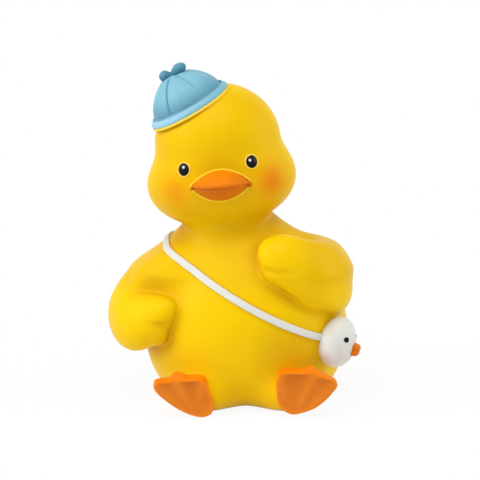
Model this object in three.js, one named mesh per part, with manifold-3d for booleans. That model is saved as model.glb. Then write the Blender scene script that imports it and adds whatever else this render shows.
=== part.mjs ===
// Duckling figurine: a sitting duckling in a small hat, with a bag on a shoulder strap.
// It is cast solid in one piece and painted. Millimetres, +Z up, the duckling faces -Y.
// The origin is on the floor under the middle of the torso.
// Left and right are the duckling's own, so its left side is +X.
// A bearing goes round the torso or the head from straight ahead, in degrees, and is positive to the left.

import * as THREE from 'three';
import { LoftGeometry } from 'three/addons/geometries/LoftGeometry.js';
import { mergeVertices } from 'three/addons/utils/BufferGeometryUtils.js';
import Module from 'manifold-3d';

// Driving dimensions

const torso = {
  bellyHeight: 20, // floor to the widest level
  baseHalfWidth: 17,
  bellyHalfWidth: 30,
  neckHalfWidth: 11.2,
  baseFront: 15,
  bellyFront: 28,
  neckFront: 10,
  baseBack: 19,
  bellyBack: 27,
  neckBack: 11,
  neckLean: -5.5, // how far the neck stands to the side of the belly, minus for the right
  fullness: 1.2, // how quickly the shoulders draw in: lower is fuller
};

const head = {
  height: 64.5, // floor to the widest level of the cheeks
  neckSink: 6, // how far the neck runs up into the head
  forward: 2,
  aside: -1.6, // to the side of the neck, minus for the right
  tilt: 7, // degrees, toward the right shoulder
  cheekHalfWidth: 21.8,
  cheekHalfHeight: 13.5,
  cheekFront: 18,
  cheekBack: 16,
  skullHalfWidth: 18.4,
  skullHalfHeight: 17.2,
  skullFront: 17.5,
  skullBack: 18,
  skullRise: 11.5, // from the widest level of the cheeks to the widest level of the skull
  blend: 8, // how firmly the cheeks and the skull keep their own outlines
};

const eye = {
  level: 6.9,
  spacing: 19.2,
  shift: -0.35, // both eyes to the side of the face's middle, minus for the right
  halfWidth: 1.8,
  halfHeight: 1.9,
  bulge: 0.9,
};

const bill = {
  level: 1.9,
  sink: 1, // how far the middle of the bill is sunk in the face
  lift: 9, // degrees that the bill points up
  yaw: 5, // degrees that the bill points to the right
  roll: 2, // degrees that the bill is turned against the head's tilt
  halfWidth: 8.8,
  upperReach: 8.5,
  upperRise: 4.3,
  upperLip: 1.3,
  lowerReach: 7.3,
  lowerDrop: 3.2,
  lowerLip: 0.4,
  gape: 1.6, // from the upper half's edge to the lower half's
};

const hat = {
  crownRadius: 10.8,
  crownHeight: 10.4,
  brimWidth: 2,
  brimDrop: 1.3,
  brimThickness: 1.3,
  taper: 1.2, // 1 for a round crown, more for a pointed one
  lean: 30, // degrees from upright, toward the right
  place: 37, // degrees from upright to where it sits on the skull
  seat: 4.15, // how far the brim is pulled down below the skull
};

const bow = {
  largeLobe: 2.6,
  largeRadius: 1.95,
  smallLobe: 1.9,
  smallRadius: 1.75,
  knotRadius: 1.2,
  spread: 0.78, // from the knot to the middle of a lobe, as a share of its half length
  turn: 15,
  lift: 15, // degrees
};

// Each wing is drawn by stations along it. A notch is a crease between two fingers, placed by how far
// along the wing it lies and how far round its section, in degrees from the side that faces out.
// The fingers at its edge lie along the torso and slant down to the left.
const rightWing = {
  root: 0.12, // how far along the wing its shoulder end is rounded
  tip: 0.84, // how far along the wing its tip begins to round off
  lean: 1, // how far its sections lean with the torso's slope
  stations: [
    { height: 43, bearing: -104, standoff: -8, halfWidth: 9.5, halfDepth: 5 },
    { height: 37, bearing: -95, standoff: 0.7, halfWidth: 12, halfDepth: 6.5 },
    { height: 27, bearing: -86, standoff: 4.9, halfWidth: 10, halfDepth: 6.5 },
    { height: 25, bearing: -66, standoff: 4.5, halfWidth: 9, halfDepth: 6.2 },
    { height: 30.8, bearing: -43, standoff: 1.6, halfWidth: 5, halfDepth: 4.9 },
  ],
  notches: [{ along: 0.84, round: 20 }],
  fingers: [{ height: 22, bearing: -55, standoff: 2.5, halfLength: 5, radius: 3.3, slant: 0 }],
};

const leftWing = {
  root: 0.15,
  tip: 0.85,
  lean: 0.55,
  stations: [
    { height: 36, bearing: 118, standoff: -6.5, halfWidth: 9.5, halfDepth: 5 },
    { height: 35.8, bearing: 88, standoff: -1.9, halfWidth: 10.4, halfDepth: 6.4 },
    { height: 37.2, bearing: 62, standoff: 1.9, halfWidth: 10.4, halfDepth: 6.5 },
    { height: 42.4, bearing: 38, standoff: 4.4, halfWidth: 8.6, halfDepth: 6 },
    { height: 48.7, bearing: 15.5, standoff: 6.4, halfWidth: 5.8, halfDepth: 5 },
  ],
  notches: [{ along: 0.84, round: -50 }],
  fingers: [
    { height: 40.2, bearing: 22, standoff: 1.5, halfLength: 4.5, radius: 2.6, slant: 35 },
    { height: 32.5, bearing: 39.6, standoff: 1.2, halfLength: 4.5, radius: 2.2, slant: 35 },
  ],
};

// The raised left wing lifts the slope from the neck to its shoulder.
const shoulder = {
  bearing: 90,
  height: 38,
  standoff: -8,
  halfWidth: 12.5,
  halfDepth: 10,
  halfHeight: 8.5,
  slope: 27,
};

// The bent right wing is filled in between its upper and lower halves.
const elbow = { height: 37, bearing: -68, standoff: -0.8, halfWidth: 8, halfDepth: 5.5, halfHeight: 7 };

const notch = { halfLength: 3.6, halfWidth: 0.45, depth: 0.9 };

// The middle of a leg, inward from its heel and back from its sole.
const leg = { inset: 2.2, setback: 15.5, level: 6, halfWidth: 8.5, halfLength: 13, halfHeight: 7.5 };

const foot = {
  heelSpacing: 26.5,
  front: 30.5, // from the middle of the torso to the soles
  thickness: 6,
  rim: 0.8, // radius of the rounded edge
  dish: 0.4, // how far the sole is hollowed
};

// Each sole's outline from the heel round, and the tips of its toes, as outward from the heel and up.
const rightSole = {
  side: -1,
  outline: [
    [-0.9, 0.4], [2.2, 0.9], [5.9, 2.5], [9.8, 5.2], [12.4, 7.6], [13.2, 9.2], [12.6, 10.5], [9.6, 10.9],
    [7.2, 11.4], [5.4, 11.5], [3.3, 11.5], [0.6, 11.6], [-0.7, 11.3], [-2, 9.6], [-3.2, 6.6], [-4, 3.7],
    [-3.2, 1.4],
  ],
  toes: [
    { out: 11.6, up: 9.5, halfWidth: 2 },
    { out: 5.9, up: 11, halfWidth: 2.5 },
    { out: -0.1, up: 10.7, halfWidth: 1.6 },
  ],
};

const leftSole = {
  side: 1,
  outline: [
    [0, 1.2], [3, 1.7], [6.4, 3], [9.3, 5.2], [11.5, 7.6], [12.8, 9.6], [12.4, 11], [10.1, 12],
    [7.6, 12.9], [5.6, 13.7], [4, 13.7], [2.1, 13.6], [-1.3, 13.6], [-3.4, 13.3], [-4.4, 11.6], [-4.6, 7.9],
    [-4.1, 4.6], [-2.5, 2.3],
  ],
  toes: [
    { out: 10.6, up: 10.6, halfWidth: 1.7 },
    { out: 5.4, up: 12.8, halfWidth: 2.2 },
    { out: -2.4, up: 12.6, halfWidth: 1.7 },
  ],
};

const tail = { height: 22, length: 9, halfWidth: 10, halfHeight: 6, rise: 30 };

const bag = {
  height: 19.5,
  bearing: 56,
  facing: 69, // bearing of the bag's face
  lean: 15, // degrees that the bag's top leans to the left
  halfWidth: 6.2,
  halfHeight: 7.6,
  halfDepth: 5.6,
  proud: 1.8, // how far the middle of the bag stands out from the belly
  beakWidth: 3.3,
  beakHeight: 3.7,
  beakReach: 1.5,
  beakDrop: 0.8,
  eyeRadius: 0.85,
  eyeSpacing: 8.2,
  eyeRise: 2.2,
};

const strap = {
  width: 2.3,
  thickness: 0.65,
  shoulderHeight: 45.8,
  chestHeight: 32,
  hipHeight: 20,
};

// Outlines of the torso and the head

const degrees = THREE.MathUtils.degToRad;

// The top of the neck, inside the head.
const neckHeight = head.height - head.cheekHalfHeight + head.neckSink;

// The torso swells from a flat base as a quarter ellipse and draws in again to the neck.
function torsoSection(height) {
  const below = Math.min(height / torso.bellyHeight, 1);
  const above = THREE.MathUtils.clamp(
    (height - torso.bellyHeight) / (neckHeight - torso.bellyHeight), 0, 1);
  const isBelow = height < torso.bellyHeight;
  const swell = isBelow ? Math.sqrt(1 - (1 - below) ** 2) : (1 - above ** 2) ** torso.fullness;
  const between = (low, belly, neck) => (isBelow ? low : neck) * (1 - swell) + belly * swell;
  return {
    half: between(torso.baseHalfWidth, torso.bellyHalfWidth, torso.neckHalfWidth),
    front: between(torso.baseFront, torso.bellyFront, torso.neckFront),
    back: between(torso.baseBack, torso.bellyBack, torso.neckBack),
    lean: torso.neckLean * above ** 3,
  };
}

// The head's outline is the rounded maximum of two ellipses, one for the cheeks and one for the skull.
function headSection(level) {
  const ellipse = (offset, halfHeight) => Math.sqrt(Math.max(1 - (offset / halfHeight) ** 2, 0));
  const cheek = ellipse(level, head.cheekHalfHeight);
  const skull = ellipse(level - head.skullRise, head.skullHalfHeight);
  const larger = (a, b) => ((a * cheek) ** head.blend + (b * skull) ** head.blend) ** (1 / head.blend);
  return {
    half: larger(head.cheekHalfWidth, head.skullHalfWidth),
    front: larger(head.cheekFront, head.skullFront),
    back: larger(head.cheekBack, head.skullBack),
    lean: 0,
  };
}

// A point at a bearing round a section, standing off from its outline.
function pointOn(section, height, bearing, standoff = 0) {
  const across = Math.sin(degrees(bearing));
  const ahead = Math.cos(degrees(bearing));
  const depth = ahead > 0 ? section.front : section.back;
  return new THREE.Vector3(
    section.lean + (section.half + standoff) * across, -(depth + standoff) * ahead, height);
}

const onTorso = (height, bearing, standoff) => pointOn(torsoSection(height), height, bearing, standoff);
const onHead = (level, bearing, standoff) => pointOn(headSection(level), level, bearing, standoff);

// A point on the head's face at a distance to the side of its middle.
function onFace(level, side) {
  const section = headSection(level);
  return onHead(level, THREE.MathUtils.radToDeg(Math.asin(side / section.half)));
}

// Forms

const ROUND = 40; // points round the torso and the head

function ring(section, height, standoff) {
  const points = [];
  for (let i = 0; i < ROUND; i += 1) {
    points.push(pointOn(section, height, (360 * i) / ROUND, standoff));
  }
  return points;
}

function torsoGeometry(standoff = 0) {
  const sections = [];
  const belowSteps = 7;
  const aboveSteps = 12;
  for (let i = 0; i <= belowSteps; i += 1) {
    const height = torso.bellyHeight * (1 - Math.cos((Math.PI / 2) * (i / belowSteps)));
    sections.push(ring(torsoSection(height), height, standoff));
  }
  for (let i = 1; i <= aboveSteps; i += 1) {
    const height = torso.bellyHeight + (neckHeight - torso.bellyHeight) * (i / aboveSteps);
    sections.push(ring(torsoSection(height), height, standoff));
  }
  return new LoftGeometry(sections, { closed: true, capStart: true, capEnd: true });
}

function headGeometry() {
  const sections = [];
  const steps = 20;
  const bottom = -head.cheekHalfHeight;
  const top = head.skullRise + head.skullHalfHeight;
  for (let i = 0; i < steps; i += 1) {
    const turn = (Math.PI * (i + 0.5)) / steps;
    const level = (bottom + top) / 2 - ((top - bottom) / 2) * Math.cos(turn);
    sections.push(ring(headSection(level), level, 0));
  }
  return new LoftGeometry(sections, { closed: true, capStart: true, capEnd: true });
}

// A wing's section at a distance along it: its middle, its half sizes and its own directions.
function wingSection(wing, along) {
  const spine = new THREE.CatmullRomCurve3(
    wing.stations.map((s) => onTorso(s.height, s.bearing, s.standoff)), false, 'centripetal');
  const sizes = new THREE.SplineCurve(
    wing.stations.map((s) => new THREE.Vector2(s.halfWidth, s.halfDepth)));
  const middle = spine.getPoint(along);
  const tangent = spine.getTangent(along);
  const slope = (torsoSection(middle.z + 1).half - torsoSection(middle.z - 1).half) / 2;
  const out = new THREE.Vector3(middle.x, middle.y, 0).normalize().setZ(-slope * wing.lean);
  out.projectOnPlane(tangent).normalize();
  const across = new THREE.Vector3().crossVectors(tangent, out);
  const past = Math.max((wing.root - along) / wing.root, (along - wing.tip) / (1 - wing.tip), 0);
  const size = sizes.getPoint(along).multiplyScalar(Math.sqrt(1 - past ** 2));
  return { middle, tangent, out, across, size };
}

function onWing({ middle, out, across, size }, angle, standoff = 0) {
  return middle.clone()
    .addScaledVector(out, (size.y + standoff) * Math.cos(angle))
    .addScaledVector(across, (size.x + standoff) * Math.sin(angle));
}

// A wing is a flattened limb along a curve over the torso, rounded off at its tip.
function wingGeometry(wing, standoff = 0) {
  const steps = 14;
  const round = 20;
  const sections = [];
  for (let i = 0; i < steps; i += 1) {
    const section = wingSection(wing, (1 - Math.cos((Math.PI * (i + 0.5)) / steps)) / 2);
    const points = [];
    for (let j = 0; j < round; j += 1) {
      points.push(onWing(section, (2 * Math.PI * j) / round, standoff));
    }
    sections.push(points);
  }
  return new LoftGeometry(sections, { closed: true, capStart: true, capEnd: true });
}

function ellipsoid(halfWidth, halfDepth, halfHeight, across = 20, up = 12) {
  const ball = new THREE.SphereGeometry(1, across, up).rotateX(Math.PI / 2);
  return ball.scale(halfWidth, halfDepth, halfHeight);
}

// A foot's outline in the plane of its sole, drawn in toward its middle. The outer side is toward +X.
function footSection(sole, inset, depth) {
  const curve = new THREE.CatmullRomCurve3(
    sole.outline.map(([out, up]) => new THREE.Vector3(out, 0, up)), true);
  const round = 40;
  const outline = [];
  for (let i = 0; i < round; i += 1) {
    outline.push(curve.getPoint(i / round));
  }
  const middle = outline.reduce((sum, p) => sum.add(p), new THREE.Vector3()).divideScalar(round);
  return outline.map((p) => {
    const spoke = p.clone().sub(middle);
    return spoke.setLength(spoke.length() - inset).add(middle).setY(depth);
  });
}

// A foot stands on its heel with its sole to the front and a rounded rim.
function footGeometry(sole) {
  const sections = [footSection(sole, foot.rim * 2, 0), footSection(sole, 0, -foot.thickness / 2)];
  const steps = 3;
  for (let i = 0; i <= steps; i += 1) {
    const turn = (Math.PI / 2) * (i / steps);
    const depth = foot.thickness - foot.rim * (1 - Math.sin(turn));
    sections.push(footSection(sole, foot.rim * (1 - Math.cos(turn)), -depth));
  }
  return new LoftGeometry(sections, { closed: true, capStart: true, capEnd: true });
}

// The hollow of the sole, inside the rim.
function dishGeometry(sole) {
  const sections = [
    footSection(sole, foot.rim * 3, foot.dish - foot.thickness),
    footSection(sole, foot.rim, -foot.thickness),
    footSection(sole, foot.rim, -foot.thickness - 1),
  ];
  return new LoftGeometry(sections, { closed: true, capStart: true, capEnd: true });
}

// The hat's section: a domed crown over a short brim that flares down, solid inside.
function hatGeometry() {
  const profile = [new THREE.Vector2(0, -hat.seat)];
  const edge = hat.brimThickness / 2;
  const brimRadius = hat.crownRadius + hat.brimWidth;
  profile.push(new THREE.Vector2(hat.crownRadius, -hat.seat));
  profile.push(new THREE.Vector2(brimRadius - edge, -edge));
  profile.push(new THREE.Vector2(brimRadius, edge * 0.4));
  profile.push(new THREE.Vector2(brimRadius - edge * 0.5, edge * 1.4));
  const steps = 7;
  for (let i = 0; i <= steps; i += 1) {
    const turn = (Math.PI / 2) * (i / steps);
    const rise = hat.brimDrop + (hat.crownHeight - hat.brimDrop) * Math.sin(turn) ** hat.taper;
    profile.push(new THREE.Vector2(i === steps ? 0 : hat.crownRadius * Math.cos(turn) ** hat.taper, rise));
  }
  return new THREE.LatheGeometry(profile, 30).rotateX(Math.PI / 2);
}

// One half of the bill: a dome away from the mouth and a thin lip toward it, pointing forward.
function billGeometry(reach, up, down) {
  const geometry = ellipsoid(bill.halfWidth, reach, 1, 20, 10);
  const position = geometry.getAttribute('position');
  for (let i = 0; i < position.count; i += 1) {
    const z = position.getZ(i);
    position.setZ(i, z * (z > 0 ? up : down));
  }
  return geometry;
}

// Assembly of the forms

function form(geometry, name) {
  const mesh = new THREE.Mesh(geometry);
  mesh.name = name;
  return mesh;
}

const forms = new THREE.Group();
const hollows = new THREE.Group();
forms.add(form(torsoGeometry(), 'torso'));
for (const wing of [rightWing, leftWing]) {
  forms.add(form(wingGeometry(wing), 'wing'));
  for (const { along, round } of wing.notches) {
    const section = wingSection(wing, along);
    const crease = form(ellipsoid(notch.halfLength, notch.halfWidth, notch.depth, 10, 6), 'notch');
    crease.position.copy(onWing(section, degrees(round)));
    crease.quaternion.setFromRotationMatrix(new THREE.Matrix4().makeBasis(
      section.tangent, section.across, section.out.clone().negate()));
    hollows.add(crease);
  }
  for (const { height, bearing, standoff, halfLength, radius, slant } of wing.fingers) {
    const finger = form(ellipsoid(halfLength, radius, radius, 16, 10), 'finger');
    finger.position.copy(onTorso(height, bearing, standoff));
    finger.rotation.set(0, degrees(slant), degrees(bearing), 'ZYX');
    forms.add(finger);
  }
}

const elbowForm = form(ellipsoid(elbow.halfWidth, elbow.halfDepth, elbow.halfHeight), 'elbow');
elbowForm.position.copy(onTorso(elbow.height, elbow.bearing, elbow.standoff));
forms.add(elbowForm);

const shoulderForm = form(
  ellipsoid(shoulder.halfWidth, shoulder.halfDepth, shoulder.halfHeight), 'shoulder');
shoulderForm.position.copy(onTorso(shoulder.height, shoulder.bearing, shoulder.standoff));
shoulderForm.rotation.y = degrees(shoulder.slope);
forms.add(shoulderForm);

const headForms = new THREE.Group();
headForms.position.set(torso.neckLean + head.aside, -head.forward, head.height);
headForms.rotation.y = -degrees(head.tilt);
headForms.add(form(headGeometry(), 'head'));
forms.add(headForms);

for (const side of [-1, 1]) {
  const eyeForm = form(ellipsoid(eye.halfWidth, eye.bulge, eye.halfHeight, 12, 8), 'eye');
  const seat = onFace(eye.level, (side * eye.spacing) / 2 + eye.shift);
  eyeForm.position.copy(seat);
  eyeForm.rotation.z = Math.atan2(seat.x, -seat.y);
  headForms.add(eyeForm);
}

const billForms = new THREE.Group();
billForms.position.copy(onHead(bill.level, 0, -bill.sink));
billForms.rotation.set(-degrees(bill.lift), degrees(bill.roll), -degrees(bill.yaw), 'YZX');
billForms.add(form(billGeometry(bill.upperReach, bill.upperRise, bill.upperLip), 'upper bill'));
const lowerBill = form(billGeometry(bill.lowerReach, bill.lowerLip, bill.lowerDrop), 'lower bill');
lowerBill.position.z = -bill.gape;
billForms.add(lowerBill);
headForms.add(billForms);

// The hat stands on the skull, along its own leaning axis.
const hatForms = new THREE.Group();
const hatPlace = degrees(hat.place - head.tilt);
const hatTop = new THREE.Vector3(-Math.sin(hatPlace), 0, Math.cos(hatPlace));
const skullReach = 1 / Math.hypot(hatTop.x / head.skullHalfWidth, hatTop.z / head.skullHalfHeight);
hatForms.position.copy(hatTop).multiplyScalar(skullReach - hat.seat);
hatForms.position.z += head.skullRise;
hatForms.rotation.y = -degrees(hat.lean - head.tilt);
hatForms.add(form(hatGeometry(), 'hat'));
headForms.add(hatForms);

const bowForms = new THREE.Group();
bowForms.position.z = hat.crownHeight - bow.knotRadius * 0.2;
bowForms.rotation.z = -degrees(bow.turn);
const largeLobe = form(ellipsoid(bow.largeLobe, bow.largeRadius, bow.largeRadius, 12, 8), 'large lobe');
largeLobe.position.set(bow.largeLobe * bow.spread * 1.12, 0, bow.largeRadius * 0.25);
largeLobe.rotation.y = -degrees(bow.lift);
const smallLobe = form(ellipsoid(bow.smallLobe, bow.smallRadius, bow.smallRadius, 12, 8), 'small lobe');
smallLobe.position.set(-bow.smallLobe * bow.spread * 1.2, 0, bow.smallRadius * 0.25);
const knot = form(ellipsoid(bow.knotRadius, bow.knotRadius, bow.knotRadius, 10, 6), 'knot');
bowForms.add(largeLobe, smallLobe, knot);
hatForms.add(bowForms);

for (const sole of [rightSole, leftSole]) {
  const legForm = form(ellipsoid(leg.halfWidth, leg.halfLength, leg.halfHeight), 'leg');
  legForm.position.set(
    sole.side * (foot.heelSpacing / 2 - leg.inset), leg.setback - foot.front, leg.level);
  forms.add(legForm);

  const footForms = new THREE.Group();
  footForms.add(form(footGeometry(sole), 'foot'));
  for (const { out, up, halfWidth } of sole.toes) {
    const toe = form(ellipsoid(halfWidth, foot.thickness / 2, halfWidth * 0.75, 12, 8), 'toe');
    toe.position.set(out, 0.6 - foot.thickness / 2, up);
    footForms.add(toe);
  }
  for (const [group, made] of [[forms, footForms], [hollows, form(dishGeometry(sole), 'dish')]]) {
    made.position.set((sole.side * foot.heelSpacing) / 2, foot.thickness - foot.front, 0);
    made.scale.x = sole.side;
    group.add(made);
  }
}

const tailForm = form(ellipsoid(tail.halfWidth, tail.length, tail.halfHeight), 'tail');
tailForm.position.copy(onTorso(tail.height, 180));
tailForm.rotation.x = degrees(tail.rise);
forms.add(tailForm);

const bagForms = new THREE.Group();
bagForms.position.copy(onTorso(bag.height, bag.bearing, bag.proud));
bagForms.rotation.set(0, degrees(bag.lean), degrees(bag.facing), 'YZX');
bagForms.add(form(ellipsoid(bag.halfWidth, bag.halfDepth, bag.halfHeight), 'bag'));
const beak = form(ellipsoid(bag.beakWidth / 2, bag.beakReach, bag.beakHeight / 2, 10, 8), 'beak');
beak.position.set(0, -bag.halfDepth * 0.97, -bag.beakDrop);
bagForms.add(beak);
for (const side of [-1, 1]) {
  const x = (side * bag.eyeSpacing) / 2;
  const bagEye = form(ellipsoid(bag.eyeRadius, bag.eyeRadius / 2, bag.eyeRadius, 8, 6), 'bag eye');
  const y = bag.halfDepth * Math.sqrt(1 - (x / bag.halfWidth) ** 2 - (bag.eyeRise / bag.halfHeight) ** 2);
  bagEye.position.set(x, -y, bag.eyeRise);
  bagEye.rotation.z = Math.atan2(x, y);
  bagForms.add(bagEye);
}
forms.add(bagForms);

// Casting

const wasm = await Module();
wasm.setup();

function solid(geometry, matrix) {
  const bare = new THREE.BufferGeometry();
  bare.setAttribute('position', geometry.getAttribute('position').clone());
  bare.setIndex(geometry.index);
  bare.applyMatrix4(matrix);
  const merged = mergeVertices(bare);
  const triangles = Uint32Array.from(merged.index.array);
  if (matrix.determinant() < 0) {
    for (let i = 0; i < triangles.length; i += 3) {
      [triangles[i], triangles[i + 1]] = [triangles[i + 1], triangles[i]];
    }
  }
  const vertices = Float32Array.from(merged.attributes.position.array);
  return new wasm.Manifold(new wasm.Mesh({ numProp: 3, vertProperties: vertices, triVerts: triangles }));
}

function joined(group) {
  group.updateMatrixWorld(true);
  let whole = null;
  group.traverse((part) => {
    if (part.isMesh) {
      const piece = solid(part.geometry, part.matrixWorld);
      whole = whole ? whole.add(piece) : piece;
    }
  });
  return whole;
}

// The strap is the slice of a slightly larger torso and shoulder that lies in the strap's plane.
function strapSolid() {
  const larger = new THREE.Group();
  larger.add(form(torsoGeometry(strap.thickness), 'larger torso'));
  larger.add(form(wingGeometry(rightWing, strap.thickness), 'larger wing'));
  const plane = new THREE.Plane().setFromCoplanarPoints(
    onTorso(strap.shoulderHeight, -90), onTorso(strap.chestHeight, 0), onTorso(strap.hipHeight, bag.bearing));
  const slice = new THREE.Group();
  const slab = form(new THREE.BoxGeometry(300, 300, strap.width), 'slab');
  slab.position.copy(plane.normal).multiplyScalar(-plane.constant);
  slab.quaternion.setFromUnitVectors(new THREE.Vector3(0, 0, 1), plane.normal);
  slice.add(slab);
  return joined(larger).intersect(joined(slice));
}

const floor = new THREE.Group();
const floorBlock = form(new THREE.BoxGeometry(300, 300, 100), 'floor');
floorBlock.position.z = -50;
floor.add(floorBlock);

const casting = joined(forms).add(strapSolid()).subtract(joined(hollows)).subtract(joined(floor));

const mesh = casting.getMesh();
const geometry = new THREE.BufferGeometry();
geometry.setAttribute('position', new THREE.BufferAttribute(mesh.vertProperties, 3));
geometry.setIndex(new THREE.BufferAttribute(mesh.triVerts, 1));
geometry.computeVertexNormals();

const paint = new THREE.MeshStandardMaterial({ color: 0xf1c30d, roughness: 0.5, metalness: 0 });
const figurine = new THREE.Mesh(geometry, paint);
figurine.name = 'duck_figurine';

const part = new THREE.Group();
part.add(figurine);

export default part;
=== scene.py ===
"""Painted looks of a sitting duckling figurine, built around its packed casting.

Left and right are the duckling's own, so its left side is +X. It faces -Y.
A bearing goes round the torso or the head from straight ahead and is positive to the left.
The surfaces are worked out in millimetres and stored in metres.
"""

import math
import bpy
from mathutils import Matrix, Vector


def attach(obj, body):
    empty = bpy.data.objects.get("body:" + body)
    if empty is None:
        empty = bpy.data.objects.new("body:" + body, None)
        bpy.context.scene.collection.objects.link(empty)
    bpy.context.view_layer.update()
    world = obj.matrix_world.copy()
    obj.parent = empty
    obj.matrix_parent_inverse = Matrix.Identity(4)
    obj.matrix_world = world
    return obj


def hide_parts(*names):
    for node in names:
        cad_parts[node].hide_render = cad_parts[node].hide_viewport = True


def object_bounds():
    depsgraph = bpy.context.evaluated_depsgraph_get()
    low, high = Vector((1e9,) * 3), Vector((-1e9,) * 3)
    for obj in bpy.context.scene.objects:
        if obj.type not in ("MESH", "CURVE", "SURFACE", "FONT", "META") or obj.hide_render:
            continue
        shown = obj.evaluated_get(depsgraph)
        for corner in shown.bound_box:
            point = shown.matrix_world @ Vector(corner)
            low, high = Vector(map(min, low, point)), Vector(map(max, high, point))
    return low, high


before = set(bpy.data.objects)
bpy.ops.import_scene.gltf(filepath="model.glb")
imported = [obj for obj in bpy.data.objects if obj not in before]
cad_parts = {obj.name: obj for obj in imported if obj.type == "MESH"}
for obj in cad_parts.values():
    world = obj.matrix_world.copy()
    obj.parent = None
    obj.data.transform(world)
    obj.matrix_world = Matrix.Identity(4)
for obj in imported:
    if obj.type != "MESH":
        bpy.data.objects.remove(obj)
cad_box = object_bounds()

from types import SimpleNamespace

import bpy
import numpy as np
import openvdb
from mathutils import Vector

bl_info = {
    "name": "Duckling Figurine",
    "version": (1, 0, 0),
    "blender": (4, 5, 0),
    "location": "3D View > Sidebar > Duckling",
    "description": "Builds a painted duckling figurine with a hat, a strap and a bag",
    "category": "Add Mesh",
}

MM = 0.001
CASTING = "duck_figurine"
BODY = "root"

# Wing stations: height (mm), bearing (degrees), standoff from the torso, half width and half
# depth (mm).
RIGHT_WING = np.array([
    (43, -104, -10.4, 8.5, 5),
    (34.9, -95, 1.0, 9.8, 6.5),
    (27.2, -86, 4.8, 9.7, 6.5),
    (25, -66, 4.5, 9, 6.2),
    (30.8, -43, 1.6, 5, 4.9),
], float)
LEFT_WING = np.array([
    (36, 118, -6.5, 9.5, 5),
    (35.8, 88, -1.9, 10.4, 6.4),
    (37.2, 62, 1.9, 10.4, 6.5),
    (42.4, 38, 4.4, 8.6, 6),
    (48.7, 15.5, 6.4, 5.8, 5),
], float)
# Where each wing's root and tip begin to round off along it, and how far it leans with the
# torso's slope.
WING_ENDS = {"right": (0.12, 0.84, 1), "left": (0.15, 0.85, 0.55)}

# Fingers: height (mm), bearing (degrees), standoff from the torso, half length, radius (mm) and
# slant (degrees).
FINGERS = (
    (22, -55, 2.5, 5, 3.3, 0),
    (40.2, 22, 1.5, 4.5, 2.6, -35),
    (32.5, 39.6, 1.2, 4.5, 2.2, -35),
)

# Lumps joined to the torso: half sizes, height (mm), bearing (degrees), standoff (mm), lean and
# tip (degrees), and fillet (mm).
TAIL = ((10, 9, 6), 22, 180, 0, 0, 30, 6)
ELBOW = ((10, 5, 7), 38, -62, -2, 0, 0, 6)
SHOULDER = ((12.5, 10, 8.5), 38, 90, -8, -27, 0, 5.5)
# A lump in the crook of the right wing: half sizes, place and fillet (mm).
CROOK = ((5, 3.6, 4), (-28.5, -9, 35), 2.5)
LEG_FILLET = 5

# Where fillets grow (mm): from a hand's to a root's, up each wing and out along the left one, and
# from the neck's to the chin's, forward along the head.
RIGHT_ROOT_HEIGHT = (34, 39)
LEFT_ROOT_HEIGHT = (32, 40)
LEFT_ROOT_SIDE = (12, 24)
CHIN_FRONT = (2, 14)

# Rounding of the base at the floor (mm), and grid steps beside a surface that hold distances.
FLOOR_ROUND = 1.2
BAND = 16

# Pressed lines: points as (x, height) seen from the front, width, and depth at the first and the
# last point (mm).
PRESSED = (
    (((-31.2, 36.6), (-29.6, 36.2)), 3.4, 0.5, 0.5),
    (((-23.4, 25.4), (-26.7, 25.8), (-29.6, 26.2)), 0.85, 1.3, 0.15),
    (((5.6, 42.2), (8.2, 41.8), (10.6, 41.8), (13.9, 42)), 0.85, 1.3, 0.15),
)

# Places that are evened out: middle, radius (mm) and passes.
EASED = (((-28, -6, 44), 11, 70), ((20, 0, 46), 9, 50))

# Reaches out from the body (mm) at which room is looked for, and their weights: where room is
# missing, in creases, under parts and between them, the body gets painted shade.
ROOM = ((1.2, 0.2), (2.5, 0.25), (4.5, 0.3), (7.5, 0.35))

# Cheek spots: side and strength.
BLUSHES = ((-1, 0.6), (1, 0.95))

# Painted shade between the eyes, on the right jaw, beside the bag and on the belly: place seen
# from the front (x, height), half width and half height (mm), and strength.
SHADE_SPOTS = (
    (-8.3, 70.4, 11, 6, 0.66),
    (-15.3, 57.4, 8, 5, 0.55),
    (12, 20, 12, 10, 0.55),
    (-2, 23, 12, 11, 0.22),
)

# How far the paint turns pale yellow on the welt, on the two eyes' outlines and on the bill's.
RAISED_EDGES = (0.7, 0.8, 0.8, 0.35)

# Places of the painted highlights on the right and the left eye, as shares of its half sizes.
GLINTS = {-1: (0.15, 0, 0.34), 1: (-0.38, 0, 0.27)}

# Powers that dome the bill over its plan and that fill out its upper and its lower half.
BILL_DOME, UPPER_FULLNESS, LOWER_FULLNESS = 1.9, 0.95, 0.75

# How firmly each seam of the hat is pressed, from straight ahead round to the left.
SEAMS = (0.35, 0.7, 0.7, 0.7, 0.7, 1.0)

# Outlines of the soles from the heel round: outward and up (mm).
SOLES = {
    "right": np.array([
        (-0.9, 0.4), (2.2, 0.9), (5.9, 2.5), (9.8, 5.2), (12.4, 7.6), (13.2, 9.2),
        (12.6, 10.5), (9.6, 10.9), (7.2, 11.4), (5.4, 11.5), (3.3, 11.5), (0.6, 11.6),
        (-0.7, 11.3), (-2.0, 9.6), (-3.2, 6.6), (-4.0, 3.7), (-3.2, 1.4),
    ], float),
    "left": np.array([
        (0.0, 1.2), (3.0, 1.7), (6.4, 3.0), (9.3, 5.2), (11.5, 7.6), (12.8, 9.6),
        (12.4, 11.0), (10.1, 12.0), (7.6, 12.9), (5.6, 13.7), (4.0, 13.7), (2.1, 13.6),
        (-1.3, 13.6), (-3.4, 13.3), (-4.4, 11.6), (-4.6, 7.9), (-4.1, 4.6), (-2.5, 2.3),
    ], float),
}
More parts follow.
